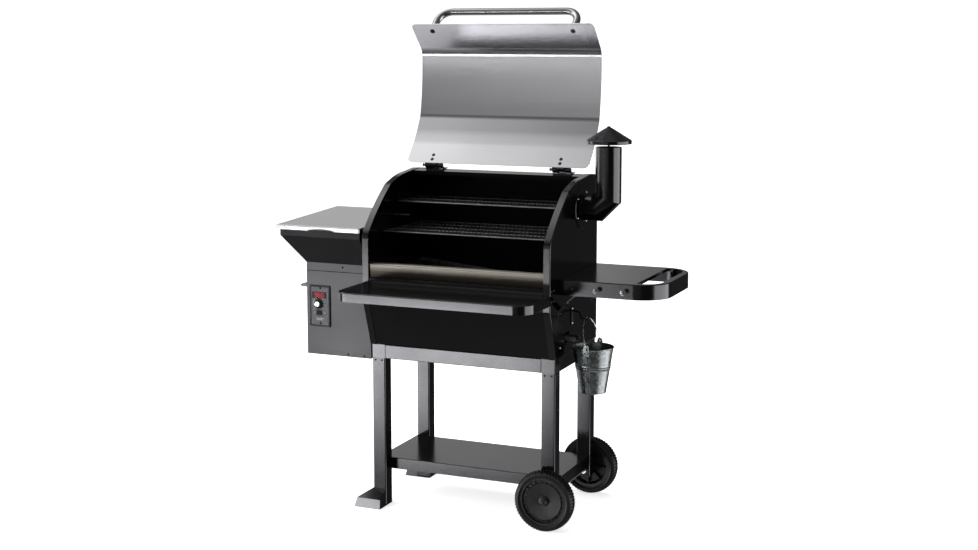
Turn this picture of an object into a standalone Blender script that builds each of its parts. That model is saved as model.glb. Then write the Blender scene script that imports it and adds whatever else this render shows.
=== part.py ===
"""Pellet smoker grill on a wheeled cart, standing with its main lid open.

Metres, +Z up. +X points to the chimney end, -Y to the cook. Lengths are given in the cart's own frame:
X = 0 is the middle of the cooking chamber, Y = 0 the front face of the front legs, Z = 0 the ground.
An empty called grill then carries everything, so that the world origin is the middle of the footprint.
Moving pieces hang on empties that sit on their joints' axes.
"""

import math

import bmesh
import bpy
from mathutils import Vector

GAP = 0.0003  # left between neighbouring pieces
SHEET = 0.0015  # folded steel sheet
PLATE = 0.003  # brackets and hinge leaves

# Cart
CART_WIDTH = 0.665
CART_DEPTH = 0.395
LEG = 0.048
LEG_CORNER = 0.003
LEG_WALL = 0.002
RAIL_BOTTOM = 0.517
RAIL_TOP = 0.564
TRAY_TOP = 0.159  # lower shelf
TRAY_LIP = 0.039
SOLE = 0.004
FOOT_FLARE = 0.051
FOOT_REACH = 0.048
FOOT_TOE = 0.034
FOOT_TOP = 0.058
WHEEL_RADIUS = 0.101
WHEEL_WIDTH = 0.046
RIM_RADIUS = 0.0785
WHEEL_CLEARANCE = 0.003
HUB_CAP = 0.006
AXLE_RADIUS = 0.006
SHORT_LEG_BOTTOM = 0.078

# Cooking chamber: corners of the end panels, front bottom round to rear bottom, as (y, z, bend radius)
CHAMBER_HALF = 0.337
CHAMBER_BOTTOM = RAIL_TOP + GAP
PANEL_CORNERS = [
    (-0.005, CHAMBER_BOTTOM, 0.0),
    (-0.061, 0.727, 0.030),
    (-0.061, 0.951, 0.045),
    (0.024, 1.040, 0.850),
    (0.112, 1.103, 0.055),
    (0.190, 1.1275, 0.300),
    (0.326, 1.1405, 0.040),
    (0.395, 1.135, 0.006),
    (0.395, CHAMBER_BOTTOM, 0.0),
]
FLANGE = 0.0235
FASCIA_Y = -0.053
FASCIA_BOTTOM = 0.803
FASCIA_TOP = 0.850
ROOF_EDGE_Y = 0.283  # front edge of the fixed roof strip

# Main lid
LID_HALF = 0.340
LID_STANDOFF = 0.002  # from the end panels' edge to the lid's inner face
LID_CORNER = 0.020
LID_HINGE_Y = 0.301
LID_LOWER_EDGE = 0.820
LID_OPENING = 136.0
PIN_HEIGHT = 0.0125  # above the lid's outer face
PIN_RADIUS = 0.004
KNUCKLE = 0.0075
HINGE_X = 0.239
LEAF_WIDTH = 0.030
LUG_WIDTH = 0.018
HANDLE_X = (-0.2665, 0.2585)
HANDLE_RADIUS = 0.0125
HANDLE_STANDOFF = 0.097
HANDLE_BEND = 0.050
HANDLE_FROM_EDGE = 0.035

# Shelves
FRONT_SHELF_TOP = 0.783
FRONT_SHELF_LIP = 0.030
FRONT_SHELF_HALF = 0.341
FRONT_SHELF_FRONT = -0.258
FRONT_SHELF_CORNER = 0.055
SIDE_SHELF_TOP = 0.828
SIDE_SHELF_LIP = 0.050
SIDE_SHELF_FRONT = 0.0045
SIDE_SHELF_REAR = 0.388
SIDE_SHELF_END = 0.688
SIDE_SHELF_CORNER = 0.100
GRIP_RIM = 0.022
GRIP_START = 0.595
GRIP_BEND = 0.058
BRACE_WIDTH = 0.040
BRACE_Z = (0.700, 0.725)
BRACE_TAB = 0.030

# Hopper
HOPPER_LEFT = -0.585
HOPPER_RIGHT = -CHAMBER_HALF - GAP
HOPPER_REAR = 0.340
CASING_BOTTOM = 0.510
CASING_TOP = 0.803
BIN_SHOULDER = 0.831
BIN_BAND = 0.928
BIN_LEFT = -0.652
BIN_RIGHT = -0.3455
BIN_FRONT = -0.060
BIN_REAR = 0.3605
BIN_OUTLET = 0.690
HOPPER_LID_X = (-0.665, -0.343)
HOPPER_LID_Y = (-0.0665, 0.366)
HOPPER_LID_Z = (0.9655, 0.984)  # top face at the front and at the rear
HOPPER_LID_LIP = 0.0155
HOPPER_PIN = (0.3735, 0.973)
PANEL_X = (-0.572, -0.493)
PANEL_Z = (0.609, 0.752)
PANEL_FACE = -0.004
KNOB_AT = (-0.5367, 0.6887)
SWITCH_AT = (-0.5347, 0.6575)

# Pellet feed and fire
AUGER_Y = 0.170
AUGER_Z = 0.660
AUGER_START = -0.5345
AUGER_PITCH = 0.060
TUBE_RADIUS = 0.028
POT_RADIUS = 0.055
POT_BOTTOM = 0.595
POT_TOP = 0.700
FAN_AT = (-0.450, 0.602)
FAN_Y = (0.235, 0.290)
FAN_RADIUS = 0.042

# Chimney
CHIMNEY_X = 0.4275
CHIMNEY_Y = 0.239
CHIMNEY_Z = 1.037  # centre of the outlet in the end panel
CHIMNEY_RADIUS = 0.0435
CHIMNEY_TOP = 1.241
ELBOW = 0.037
CAP_RADIUS = 0.076
CAP_RIM = 1.252
CAP_BAND = 0.012
CAP_APEX = 1.310

# Grease bucket
BUCKET_AT = (0.419, 0.123)
BUCKET_BOTTOM = 0.441
BUCKET_RIM = 0.594
BUCKET_RADII = (0.044, 0.068)
EAR_Z = 0.600
BAIL_APEX = (0.3949, 0.688)
BAIL_WIRE = 0.0018
HOOK_RADIUS = 0.003

# Footprint, for the world origin
REAR_WHEEL_END = CART_DEPTH + WHEEL_CLEARANCE + WHEEL_WIDTH + HUB_CAP
FOOTPRINT_X = (HOPPER_LID_X[0], SIDE_SHELF_END)
FOOTPRINT_Y = (FRONT_SHELF_FRONT, REAR_WHEEL_END)

FINISHES = {
    "black_coat": ((0.018, 0.018, 0.020), 0.35, 0.3),
    "satin_coat": ((0.045, 0.045, 0.048), 0.42, 0.4),
    "brushed_steel": ((0.56, 0.55, 0.54), 0.30, 1.0),
    "polished_steel": ((0.72, 0.70, 0.69), 0.12, 1.0),
    "galvanised": ((0.50, 0.53, 0.54), 0.32, 1.0),
    "wire": ((0.09, 0.09, 0.09), 0.45, 0.8),
    "black_plastic": ((0.020, 0.020, 0.021), 0.50, 0.0),
    "rubber": ((0.015, 0.015, 0.016), 0.80, 0.0),
    "raw_steel": ((0.30, 0.29, 0.28), 0.50, 1.0),
    "display_red": ((0.35, 0.02, 0.02), 0.20, 0.0),
}
IN_PLANE = {"X": (1, 2, 0), "Y": (0, 2, 1), "Z": (0, 1, 2)}
PIVOTS = {}


# --- scene and object helpers -------------------------------------------------------------------


def clear_scene():
    for obj in list(bpy.data.objects):
        bpy.data.objects.remove(obj, do_unlink=True)


def finish_of(name):
    found = bpy.data.materials.get(name)
    if found:
        return found
    colour, roughness, metallic = FINISHES[name]
    made = bpy.data.materials.new(name)
    made.use_nodes = True
    shader = made.node_tree.nodes["Principled BSDF"]
    shader.inputs["Base Color"].default_value = (*colour, 1.0)
    shader.inputs["Roughness"].default_value = roughness
    shader.inputs["Metallic"].default_value = metallic
    return made


def joint(name, pivot, parent=None):
    """An empty on a joint's axis; what hangs on it keeps the cart's coordinates."""
    empty = bpy.data.objects.new(name, None)
    empty.empty_display_size = 0.05
    bpy.context.scene.collection.objects.link(empty)
    PIVOTS[name] = Vector(pivot)
    if parent:
        empty.parent = parent
        empty.location = PIVOTS[name] - PIVOTS[parent.name]
    return empty


def skin(name, loops, finish, parent, ring=False):
    """Bridges point loops of equal length. Its ends are capped, or joined to each other if it is a ring."""
    count = len(loops[0])
    points = [point for loop in loops for point in loop]
    spans = len(loops) if ring else len(loops) - 1
    faces = []
    for span in range(spans):
        near = span * count
        far = (span + 1) % len(loops) * count
        for i in range(count):
            j = (i + 1) % count
            faces.append((near + i, near + j, far + j, far + i))
    if not ring:
        faces.append(tuple(range(count)))
        faces.append(tuple(range(len(points) - count, len(points))))
    mesh = bpy.data.meshes.new(name)
    mesh.from_pydata(points, [], faces)
    work = bmesh.new()
    work.from_mesh(mesh)
    bmesh.ops.recalc_face_normals(work, faces=work.faces)
    work.to_mesh(mesh)
    work.free()
    return node(name, mesh, finish, parent)


def node(name, mesh, finish, parent):
    mesh.shade_smooth()
    mesh.set_sharp_from_angle(angle=math.radians(30))
    mesh.materials.append(finish_of(finish))
    obj = bpy.data.objects.new(name, mesh)
    bpy.context.scene.collection.objects.link(obj)
    obj.parent = parent
    obj.location = -PIVOTS[parent.name]
    return obj


def boolean(target, tool, operation):
    modifier = target.modifiers.new(operation.lower(), "BOOLEAN")
    modifier.operation = operation
    modifier.solver = "EXACT"
    modifier.object = tool
    tool.hide_render = True
    tool.display_type = "WIRE"


def cut(target, cutter):
    boolean(target, cutter, "DIFFERENCE")


def join(target, piece):
    boolean(target, piece, "UNION")


# --- outlines -------------------------------------------------------------------------------------


def at(axis, first, second, along):
    """The point with these two coordinates across the axis and this one along it."""
    point = [0.0, 0.0, 0.0]
    for index, value in zip(IN_PLANE[axis], (first, second, along)):
        point[index] = value
    return tuple(point)


def rectangle(a, b):
    return [(a[0], b[0]), (a[1], b[0]), (a[1], b[1]), (a[0], b[1])]


def fillet(corners, steps=4, closed=True):
    """Corners given as (a, b, radius) become arcs tangent to both sides."""
    made = []
    last = len(corners) - 1
    for i, (a, b, radius) in enumerate(corners):
        here = Vector((a, b))
        if radius == 0 or (not closed and i in (0, last)):
            made.append((a, b))
            continue
        before = (Vector(corners[i - 1][:2]) - here).normalized()
        after = (Vector(corners[(i + 1) % len(corners)][:2]) - here).normalized()
        half = before.angle(after) / 2
        centre = here + (before + after).normalized() * (radius / math.sin(half))
        start = here + before * (radius / math.tan(half)) - centre
        turn = start.angle_signed(here + after * (radius / math.tan(half)) - centre)
        for step in range(steps + 1):
            made.append(tuple(centre + turned_by(start, -turn * step / steps)))
    return made


def turned_by(vector, angle):
    cosine, sine = math.cos(angle), math.sin(angle)
    return Vector((vector.x * cosine - vector.y * sine, vector.x * sine + vector.y * cosine))


def offset(points, distance, closed=True):
    """The outline moved sideways, to the right of its direction of travel."""
    made = []
    for i, point in enumerate(points):
        here = Vector(point)
        if closed or 0 < i < len(points) - 1:
            before = (here - Vector(points[i - 1])).normalized()
            after = (Vector(points[(i + 1) % len(points)]) - here).normalized()
        else:
            near = (0, 1) if i == 0 else (i - 1, i)
            before = after = (Vector(points[near[1]]) - Vector(points[near[0]])).normalized()
        sideways = Vector((before.y + after.y, -before.x - after.x)).normalized()
        mitre = sideways.dot(Vector((before.y, -before.x)))
        made.append(tuple(here + sideways * distance / mitre))
    return made


def is_clockwise(points):
    area = sum(a[0] * b[1] - b[0] * a[1] for a, b in zip(points, points[1:] + points[:1]))
    return area < 0


def inset(points, distance):
    return offset(points, distance if is_clockwise(points) else -distance)


def circle(centre, radius, sides, start=0.0):
    turns = [start + 2 * math.pi * i / sides for i in range(sides)]
    return [(centre[0] + radius * math.cos(t), centre[1] + radius * math.sin(t)) for t in turns]


# --- solids ---------------------------------------------------------------------------------------


def prism(name, axis, outline, span, finish, parent):
    loops = [[at(axis, a, b, along) for a, b in outline] for along in span]
    return skin(name, loops, finish, parent)


def box(name, x, y, z, finish, parent):
    return prism(name, "Z", rectangle(x, y), z, finish, parent)


def pan(name, axis, outline, closed_at, open_at, finish, parent, wall=SHEET):
    """A folded tray: a sheet at closed_at, with its rim reaching to open_at."""
    floor = closed_at + math.copysign(wall, open_at - closed_at)
    inner = inset(outline, wall)
    stations = [(inner, floor), (inner, open_at), (outline, open_at), (outline, closed_at)]
    loops = [[at(axis, a, b, along) for a, b in loop] for loop, along in stations]
    return skin(name, loops, finish, parent)


def folded(name, axis, path, span, finish, parent, thickness=SHEET):
    """A sheet bent along a path, its thickness on the right of the path."""
    outline = list(path) + offset(path, thickness, closed=False)[::-1]
    return prism(name, axis, outline, span, finish, parent)


def turned(name, axis, centre, profile, sides, finish, parent, ring=False):
    """A profile of (radius, place along the axis) turned about the axis."""
    loops = [[at(axis, a, b, along) for a, b in circle(centre, radius, sides)] for radius, along in profile]
    return skin(name, loops, finish, parent, ring)


def rod(name, axis, centre, radius, span, finish, parent, sides=16):
    return turned(name, axis, centre, [(radius, span[0]), (radius, span[1])], sides, finish, parent)


def tube_rings(path, radius, sides):
    """Rings round a path, each lying in the mitre plane of its corner."""
    path = [Vector(point) for point in path]
    ways = [(b - a).normalized() for a, b in zip(path, path[1:])]
    side = ways[0].orthogonal().normalized()
    up = ways[0].cross(side)
    ring = [
        path[0] + side * (radius * math.cos(t)) + up * (radius * math.sin(t))
        for t in (2 * math.pi * i / sides for i in range(sides))
    ]
    rings = [ring]
    for i, way in enumerate(ways):
        following = ways[min(i + 1, len(ways) - 1)]
        normal = (way + following).normalized()
        end = path[i + 1]
        ring = [p + way * ((end - p).dot(normal) / way.dot(normal)) for p in ring]
        rings.append(ring)
    return rings


def wire(name, path, radius, sides, finish, parent):
    return skin(name, tube_rings(path, radius, sides), finish, parent)


# --- cart -----------------------------------------------------------------------------------------


def rounded_square(x, y):
    corners = [(a, b, LEG_CORNER) for a, b in rectangle(x, y)]
    return fillet(corners, steps=2)


def legs(grill):
    inner = CART_WIDTH / 2 - LEG
    fronts = {"front": (0.0, LEG), "rear": (CART_DEPTH - LEG, CART_DEPTH)}
    sides = {
        "left": ((-CART_WIDTH / 2, -inner), SOLE + GAP),
        "right": ((inner, CART_WIDTH / 2), SHORT_LEG_BOTTOM),
    }
    for front, y in fronts.items():
        for side, (x, bottom) in sides.items():
            outline = rounded_square(x, y)
            top = RAIL_BOTTOM - GAP
            leg = pan(f"{front}_{side}_leg", "Z", outline, bottom, top, "satin_coat", grill, LEG_WALL)
            if side == "right":
                bore = (y[0] - 0.01, y[1] + 0.01)
                centre = (CART_WIDTH / 2 - LEG / 2, WHEEL_RADIUS)
                cut(leg, rod(f"{front}_leg_bore", "Y", centre, AXLE_RADIUS + GAP, bore, "satin_coat", grill))


def rails(grill):
    height = (RAIL_BOTTOM, RAIL_TOP)
    inner = CART_WIDTH / 2 - LEG - GAP
    for side, way in (("left", -1), ("right", 1)):
        outline = rectangle((0.0, CART_DEPTH), height)
        outer = way * CART_WIDTH / 2
        pan(f"{side}_side_rail", "X", outline, outer, outer - way * LEG, "satin_coat", grill)
    outline = rectangle((-inner, inner), height)
    pan("front_rail", "Y", outline, 0.0, LEG, "satin_coat", grill)
    pan("rear_rail", "Y", outline, CART_DEPTH, CART_DEPTH - LEG, "satin_coat", grill)


def lower_shelf(grill):
    outline = rectangle(
        (-CART_WIDTH / 2, CART_WIDTH / 2), (LEG + GAP, CART_DEPTH - LEG - GAP)
    )
    pan("lower_shelf", "Z", outline, TRAY_TOP, TRAY_TOP - TRAY_LIP, "satin_coat", grill)


def feet(grill):
    """Wedge-shaped feet under the two left legs, flaring outwards and away from the cart's middle."""
    outer = -CART_WIDTH / 2
    inner = outer + LEG
    for name, face, way in (("front", 0.0, -1), ("rear", CART_DEPTH, 1)):
        back = face - way * LEG
        levels = [
            (0.0, FOOT_FLARE, FOOT_REACH),
            (FOOT_TOE, FOOT_FLARE - 0.011, FOOT_REACH - 0.002),
            (FOOT_TOP, 0.002, 0.002),
        ]
        loops = []
        for z, flare, reach in levels:
            front, toe = face + way * reach, outer - flare
            loops.append([(inner, back, z), (inner, front, z), (toe, front, z), (toe, back, z)])
        foot = skin(f"{name}_left_foot", loops, "black_coat", grill)
        y = sorted((face + way * GAP, back - way * 0.002))
        cutter = box(f"{name}_foot_socket", (outer - GAP, inner + 0.002), y, (SOLE, 0.1), "black_coat", grill)
        cut(foot, cutter)


def wheel(name, face, way, grill):
    """A wheel on the outer side of a right leg, its hub cap away from the leg."""
    centre = (CART_WIDTH / 2 - LEG / 2, WHEEL_RADIUS)
    near = face + way * WHEEL_CLEARANCE
    hub = joint(f"{name}_wheel_axis", (centre[0], near, centre[1]), grill)

    def along(depth):
        return near + way * depth

    bore = AXLE_RADIUS + 0.0001
    far = WHEEL_WIDTH
    disc = [
        (bore, 0.040),
        (bore, 0.0),
        (0.016, 0.0),
        (0.018, 0.016),
        (0.060, 0.018),
        (0.066, 0.004),
        (RIM_RADIUS - GAP, 0.004),
        (RIM_RADIUS - GAP, far - 0.004),
        (0.070, far - 0.004),
        (0.064, far - 0.016),
        (0.030, far - 0.014),
        (0.022, far - 0.002),
        (0.014, far + HUB_CAP - 0.002),
        (0.006, far + HUB_CAP),
    ]
    turned(f"{name}_wheel", "Y", centre, [(r, along(d)) for r, d in disc], 28, "black_plastic", hub)
    band = [
        (RIM_RADIUS, 0.003),
        (RIM_RADIUS, far - 0.003),
        (RIM_RADIUS + 0.012, far),
        (WHEEL_RADIUS - 0.003, far - 0.005),
        (WHEEL_RADIUS, far - 0.013),
        (WHEEL_RADIUS, 0.013),
        (WHEEL_RADIUS - 0.003, 0.005),
        (RIM_RADIUS + 0.012, 0.0),
    ]
    turned(f"{name}_tyre", "Y", centre, [(r, along(d)) for r, d in band], 36, "rubber", hub, ring=True)


def running_gear(grill):
    wheel("front", 0.0, -1, grill)
    wheel("rear", CART_DEPTH, 1, grill)
    reach = WHEEL_CLEARANCE + 0.0395
    centre = (CART_WIDTH / 2 - LEG / 2, WHEEL_RADIUS)
    rod("wheel_axle", "Y", centre, AXLE_RADIUS, (-reach, CART_DEPTH + reach), "raw_steel", grill)


# --- cooking chamber ------------------------------------------------------------------------------


def panel_outline():
    return fillet(PANEL_CORNERS, steps=4)


def end_panels(grill):
    for side, way in (("left", -1), ("right", 1)):
        outer = way * CHAMBER_HALF
        panel = pan(
            f"{side}_end_panel", "X", panel_outline(), outer, outer - way * FLANGE, "black_coat", grill
        )
        through = (outer - way * 0.01, outer + way * 0.01)
        if side == "left":
            centre = (AUGER_Y, AUGER_Z)
            hole = rod("panel_auger_hole", "X", centre, TUBE_RADIUS + GAP, through, "wire", grill, 24)
            duct = prism("panel_duct_hole", "X", duct_mouth(), through, "wire", grill)
        else:
            centre = (CHIMNEY_Y, CHIMNEY_Z)
            hole = rod("panel_smoke_hole", "X", centre, CHIMNEY_RADIUS - 0.003, through, "wire", grill, 24)
            mouth = rectangle((0.072, 0.118), (0.606, 0.640))
            duct = prism("panel_grease_hole", "X", mouth, through, "wire", grill)
        cut(panel, hole)
        cut(panel, duct)


def duct_mouth():
    return rectangle((FAN_Y[0] + 0.008, FAN_Y[1] - 0.008), (FAN_AT[1] - 0.024, FAN_AT[1]))


def barrel(grill):
    """The bent sheets between the end panels, just inside their flanges."""
    inside = CHAMBER_HALF - SHEET - GAP
    under = SHEET + GAP
    corners = inset([(y, z) for y, z, _ in PANEL_CORNERS], under)
    bends = [max(radius - under, 0.0) for _, _, radius in PANEL_CORNERS]
    floor_front, front_bend, *_, roof_ridge, roof_rear, floor_rear = [
        (*corner, bend) for corner, bend in zip(corners, bends)
    ]
    seam_y = 0.180
    floor = floor_front[1]
    front_path = [(front_bend[0], FASCIA_BOTTOM - 0.002, 0.0), front_bend, floor_front, (seam_y, floor, 0.0)]
    front_path = fillet(front_path, closed=False)
    folded("barrel_front_sheet", "X", front_path, (inside, -inside), "black_coat", grill, -SHEET)
    edge_z = roof_ridge[1] - math.tan(roof_slope()) * (roof_ridge[0] - ROOF_EDGE_Y)
    rear_path = [
        (seam_y + GAP, floor, 0.0),
        floor_rear,
        roof_rear,
        roof_ridge,
        (ROOF_EDGE_Y, edge_z, 0.0),
        (ROOF_EDGE_Y, edge_z - 0.014, 0.0),
    ]
    rear_path = fillet(rear_path, closed=False)
    folded("barrel_rear_sheet", "X", rear_path, (inside, -inside), "black_coat", grill, -SHEET)
    fascia = fillet(
        [
            (FASCIA_Y, FASCIA_BOTTOM, 0.0),
            (FASCIA_Y, FASCIA_TOP, 0.006),
            (FASCIA_Y + 0.022, FASCIA_TOP + 0.002, 0.0),
        ],
        closed=False,
    )
    folded("front_fascia", "X", fascia, (-inside, inside), "brushed_steel", grill)


def lattice(name, x_span, y_span, bars, cross_bars, z, finish, parent):
    """A grate: bars along Y and cross bars along X, as one flat net of square-edged rods."""
    thick = 0.0045

    def lines(span, count):
        pitch = (span[1] - span[0] - thick) / (count - 1)
        return [span[0] + pitch * i + edge for i in range(count) for edge in (0.0, thick)]

    xs = lines(x_span, bars)
    ys = lines(y_span, cross_bars)
    levels = (z - thick, z)
    work = bmesh.new()
    grid = {
        (i, j, k): work.verts.new((x, y, level))
        for i, x in enumerate(xs)
        for j, y in enumerate(ys)
        for k, level in enumerate(levels)
    }

    def solid(i, j):
        inside = 0 <= i < len(xs) - 1 and 0 <= j < len(ys) - 1
        return inside and (i % 2 == 0 or j % 2 == 0)

    for i in range(len(xs) - 1):
        for j in range(len(ys) - 1):
            if not solid(i, j):
                continue
            around = [(i, j), (i + 1, j), (i + 1, j + 1), (i, j + 1)]
            work.faces.new([grid[a, b, 0] for a, b in around])
            work.faces.new([grid[a, b, 1] for a, b in around])
            beyond = [(i, j - 1), (i + 1, j), (i, j + 1), (i - 1, j)]
            for side, neighbour in enumerate(beyond):
                if not solid(*neighbour):
                    a, b = around[side], around[(side + 1) % 4]
                    work.faces.new([grid[(*a, 0)], grid[(*b, 0)], grid[(*b, 1)], grid[(*a, 1)]])
    loose = [vertex for vertex in work.verts if not vertex.link_faces]
    bmesh.ops.delete(work, geom=loose, context="VERTS")
    bmesh.ops.recalc_face_normals(work, faces=work.faces)
    mesh = bpy.data.meshes.new(name)
    work.to_mesh(mesh)
    work.free()
    return node(name, mesh, finish, parent)


def grates(grill):
    half = CHAMBER_HALF - 0.006
    lattice("cooking_grate", (-half, half), (0.073, 0.385), 16, 3, 0.945, "wire", grill)
    lattice("upper_rack", (-half, half), (0.186, 0.378), 16, 3, 1.037, "wire", grill)


def drip_tray(grill):
    """Slopes down to the grease outlet at the right."""
    x = (-0.322, 0.300)
    y = (-0.030, 0.375)
    height = {x[0]: 0.800, x[1]: 0.740}
    rim = 0.012
    outline = rectangle(x, y)
    inner = inset(outline, SHEET)

    def level(point, lift):
        share = (point[0] - x[0]) / (x[1] - x[0])
        return (*point, height[x[0]] + share * (height[x[1]] - height[x[0]]) + lift)

    stations = [(inner, SHEET), (inner, rim), (outline, rim), (outline, 0.0)]
    skin("drip_tray", [[level(p, lift) for p in loop] for loop, lift in stations], "raw_steel", grill)


def fire(grill):
    outline = rectangle((-0.130, 0.130), (AUGER_Y - 0.120, AUGER_Y + 0.120))
    pan("heat_baffle", "Z", outline, 0.724, 0.709, "raw_steel", grill)
    wall = 0.002
    profile = [
        (POT_RADIUS - wall, POT_BOTTOM + wall),
        (POT_RADIUS - wall, POT_TOP),
        (POT_RADIUS, POT_TOP),
        (POT_RADIUS, POT_BOTTOM),
    ]
    pot = turned("fire_pot", "Z", (0.0, AUGER_Y), profile, 24, "raw_steel", grill)
    through = (-POT_RADIUS - 0.01, -POT_RADIUS + 0.02)
    cut(pot, rod("pot_feed_hole", "X", (AUGER_Y, AUGER_Z), 0.022, through, "wire", grill))
    cut(pot, rod("pot_igniter_hole", "X", (AUGER_Y, 0.612), 0.0055, through, "wire", grill, 12))
    rod("igniter_rod", "X", (AUGER_Y, 0.612), 0.0045, (-0.130, -0.040), "raw_steel", grill, 12)
    probe = (-CHAMBER_HALF + 0.002, -0.272)
    rod("temperature_probe", "X", (0.170, 0.990), 0.003, probe, "raw_steel", grill, 12)


# --- pellet feed ----------------------------------------------------------------------------------


def pellet_feed(grill):
    end = -POT_RADIUS - GAP
    wall = 0.002
    rings = [
        (TUBE_RADIUS, AUGER_START),
        (TUBE_RADIUS, end),
        (TUBE_RADIUS - wall, end),
        (TUBE_RADIUS - wall, AUGER_START),
    ]
    centre = (AUGER_Y, AUGER_Z)
    tube = turned("auger_tube", "X", centre, rings, 24, "raw_steel", grill, ring=True)
    mouth_y = (AUGER_Y - 0.018, AUGER_Y + 0.018)
    cut(tube, box("auger_intake", (-0.495, -0.405), mouth_y, (AUGER_Z + 0.005, 0.72), "wire", grill))
    auger_screw(joint("auger_axis", (AUGER_START, AUGER_Y, AUGER_Z), grill))
    motor_x = (HOPPER_LEFT + SHEET + GAP, AUGER_START - GAP)
    box("auger_motor", motor_x, (0.140, 0.200), (0.630, 0.690), "raw_steel", grill)


def auger_screw(axis):
    """A shaft with one flight, drawn as a section with a single blade that turns along the shaft."""
    shaft, blade = 0.007, 0.0225
    start, end = AUGER_START + 0.001, -POT_RADIUS - 0.004
    section = [(blade, math.radians(d)) for d in (-14, 0, 14)]
    section += [(shaft, math.radians(d)) for d in (40, 110, 180, 250, 320)]
    steps = round((end - start) / AUGER_PITCH * 9)
    loops = []
    for step in range(steps + 1):
        x = start + (end - start) * step / steps
        turn = 2 * math.pi * (x - start) / AUGER_PITCH
        loops.append(
            [(x, AUGER_Y + r * math.cos(a + turn), AUGER_Z + r * math.sin(a + turn)) for r, a in section]
        )
    skin("auger_screw", loops, "raw_steel", axis)


def fan(grill):
    x, z = FAN_AT
    mouth = HOPPER_RIGHT - SHEET - GAP
    duct = (z - 0.027, z + 0.003)
    start = math.asin((duct[1] - z) / FAN_RADIUS)
    end = 2 * math.pi + math.asin((duct[0] - z) / FAN_RADIUS)
    turns = [start + (end - start) * i / 20 for i in range(21)]
    scroll = [(x + FAN_RADIUS * math.cos(t), z + FAN_RADIUS * math.sin(t)) for t in turns]
    outline = [(mouth, duct[0]), (mouth, duct[1]), *scroll]
    housing = pan("fan_housing", "Y", outline, FAN_Y[1], FAN_Y[0], "raw_steel", grill)
    slot = rectangle((mouth - 0.004, mouth + 0.004), (duct[0] + SHEET, duct[1] - SHEET))
    span = (FAN_Y[0] + 0.006, FAN_Y[1] - 0.006)
    cut(housing, prism("fan_mouth", "Y", slot, span, "wire", grill))
    axis = joint("fan_axis", (x, FAN_Y[0], z), grill)
    blades = []
    for i in range(10):
        for radius, share in ((0.034, -0.16), (0.034, 0.16), (0.012, 0.5)):
            turn = 2 * math.pi * (i + share) / 10
            blades.append((x + radius * math.cos(turn), z + radius * math.sin(turn)))
    prism("fan_impeller", "Y", blades, (FAN_Y[0] + 0.003, FAN_Y[1] - 0.005), "raw_steel", axis)


# --- hopper ---------------------------------------------------------------------------------------


def lid_plane(y):
    """Height of the hopper lid's top face, which slopes down to the front."""
    share = (y - HOPPER_LID_Y[0]) / (HOPPER_LID_Y[1] - HOPPER_LID_Y[0])
    return HOPPER_LID_Z[0] + share * (HOPPER_LID_Z[1] - HOPPER_LID_Z[0])


def hopper_casing(grill):
    outline = rectangle((HOPPER_LEFT, HOPPER_RIGHT), (0.0, HOPPER_REAR))
    casing = pan("hopper_casing", "Z", outline, CASING_BOTTOM, CASING_TOP - GAP, "satin_coat", grill)
    through = (HOPPER_RIGHT - 0.01, HOPPER_RIGHT + 0.01)
    centre = (AUGER_Y, AUGER_Z)
    cut(casing, rod("casing_auger_hole", "X", centre, TUBE_RADIUS + GAP, through, "wire", grill, 24))
    cut(casing, prism("casing_duct_hole", "X", duct_mouth(), through, "wire", grill))


def hopper_bin(grill):
    """An open funnel whose collar sits on the casing and whose outlet stands over the auger."""
    collar = ((HOPPER_LEFT, BIN_RIGHT), (0.0, HOPPER_REAR))
    rim = ((BIN_LEFT, BIN_RIGHT), (BIN_FRONT, BIN_REAR))
    throat = ((-0.490, -0.410), (AUGER_Y - 0.018, AUGER_Y + 0.018))
    ledge = 0.004
    funnel = ((HOPPER_LEFT + ledge, BIN_RIGHT - ledge), (ledge, HOPPER_REAR - ledge))
    sections = [
        (throat, BIN_OUTLET, 0.0),
        (throat, BIN_OUTLET + 0.012, 0.0),
        (funnel, CASING_TOP, SHEET),
        (collar, CASING_TOP, SHEET),
        (collar, BIN_SHOULDER, 0.0),
        (rim, BIN_BAND, 0.0),
    ]
    outer = [[(*p, z) for p in rectangle(*sides)] for sides, z, _ in sections]
    inner = [[(*p, z + lift) for p in inset(rectangle(*sides), SHEET)] for sides, z, lift in sections]
    for loops, outline in ((outer, rectangle(*rim)), (inner, inset(rectangle(*rim), SHEET))):
        loops.append([(*p, lid_plane(p[1]) - SHEET - GAP) for p in outline])
    skin("hopper_bin", outer + inner[::-1], "black_coat", grill, ring=True)


def hopper_lid(grill):
    axis = joint("hopper_lid_axis", (0.5 * sum(HOPPER_LID_X), *HOPPER_PIN), grill)
    outline = rectangle(HOPPER_LID_X, HOPPER_LID_Y)
    inner = inset(outline, SHEET)
    stations = [
        (inner, SHEET),
        (inner, HOPPER_LID_LIP),
        (outline, HOPPER_LID_LIP),
        (outline, 0.0),
    ]
    loops = [[(*p, lid_plane(p[1]) - drop) for p in loop] for loop, drop in stations]
    skin("hopper_lid", loops, "brushed_steel", axis)
    y, z = HOPPER_PIN
    bracket = [(BIN_REAR + GAP, 0.905), (BIN_REAR + GAP, 0.942), (y, 0.942), (y, z)]
    span = (-0.600, -0.410)
    hinge = folded("hopper_lid_hinge", "X", bracket, span, "black_coat", grill)
    pin = rod("hopper_hinge_rod", "X", HOPPER_PIN, 0.0032, (-0.612, -0.398), "black_coat", grill, 12)
    join(hinge, pin)


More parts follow.
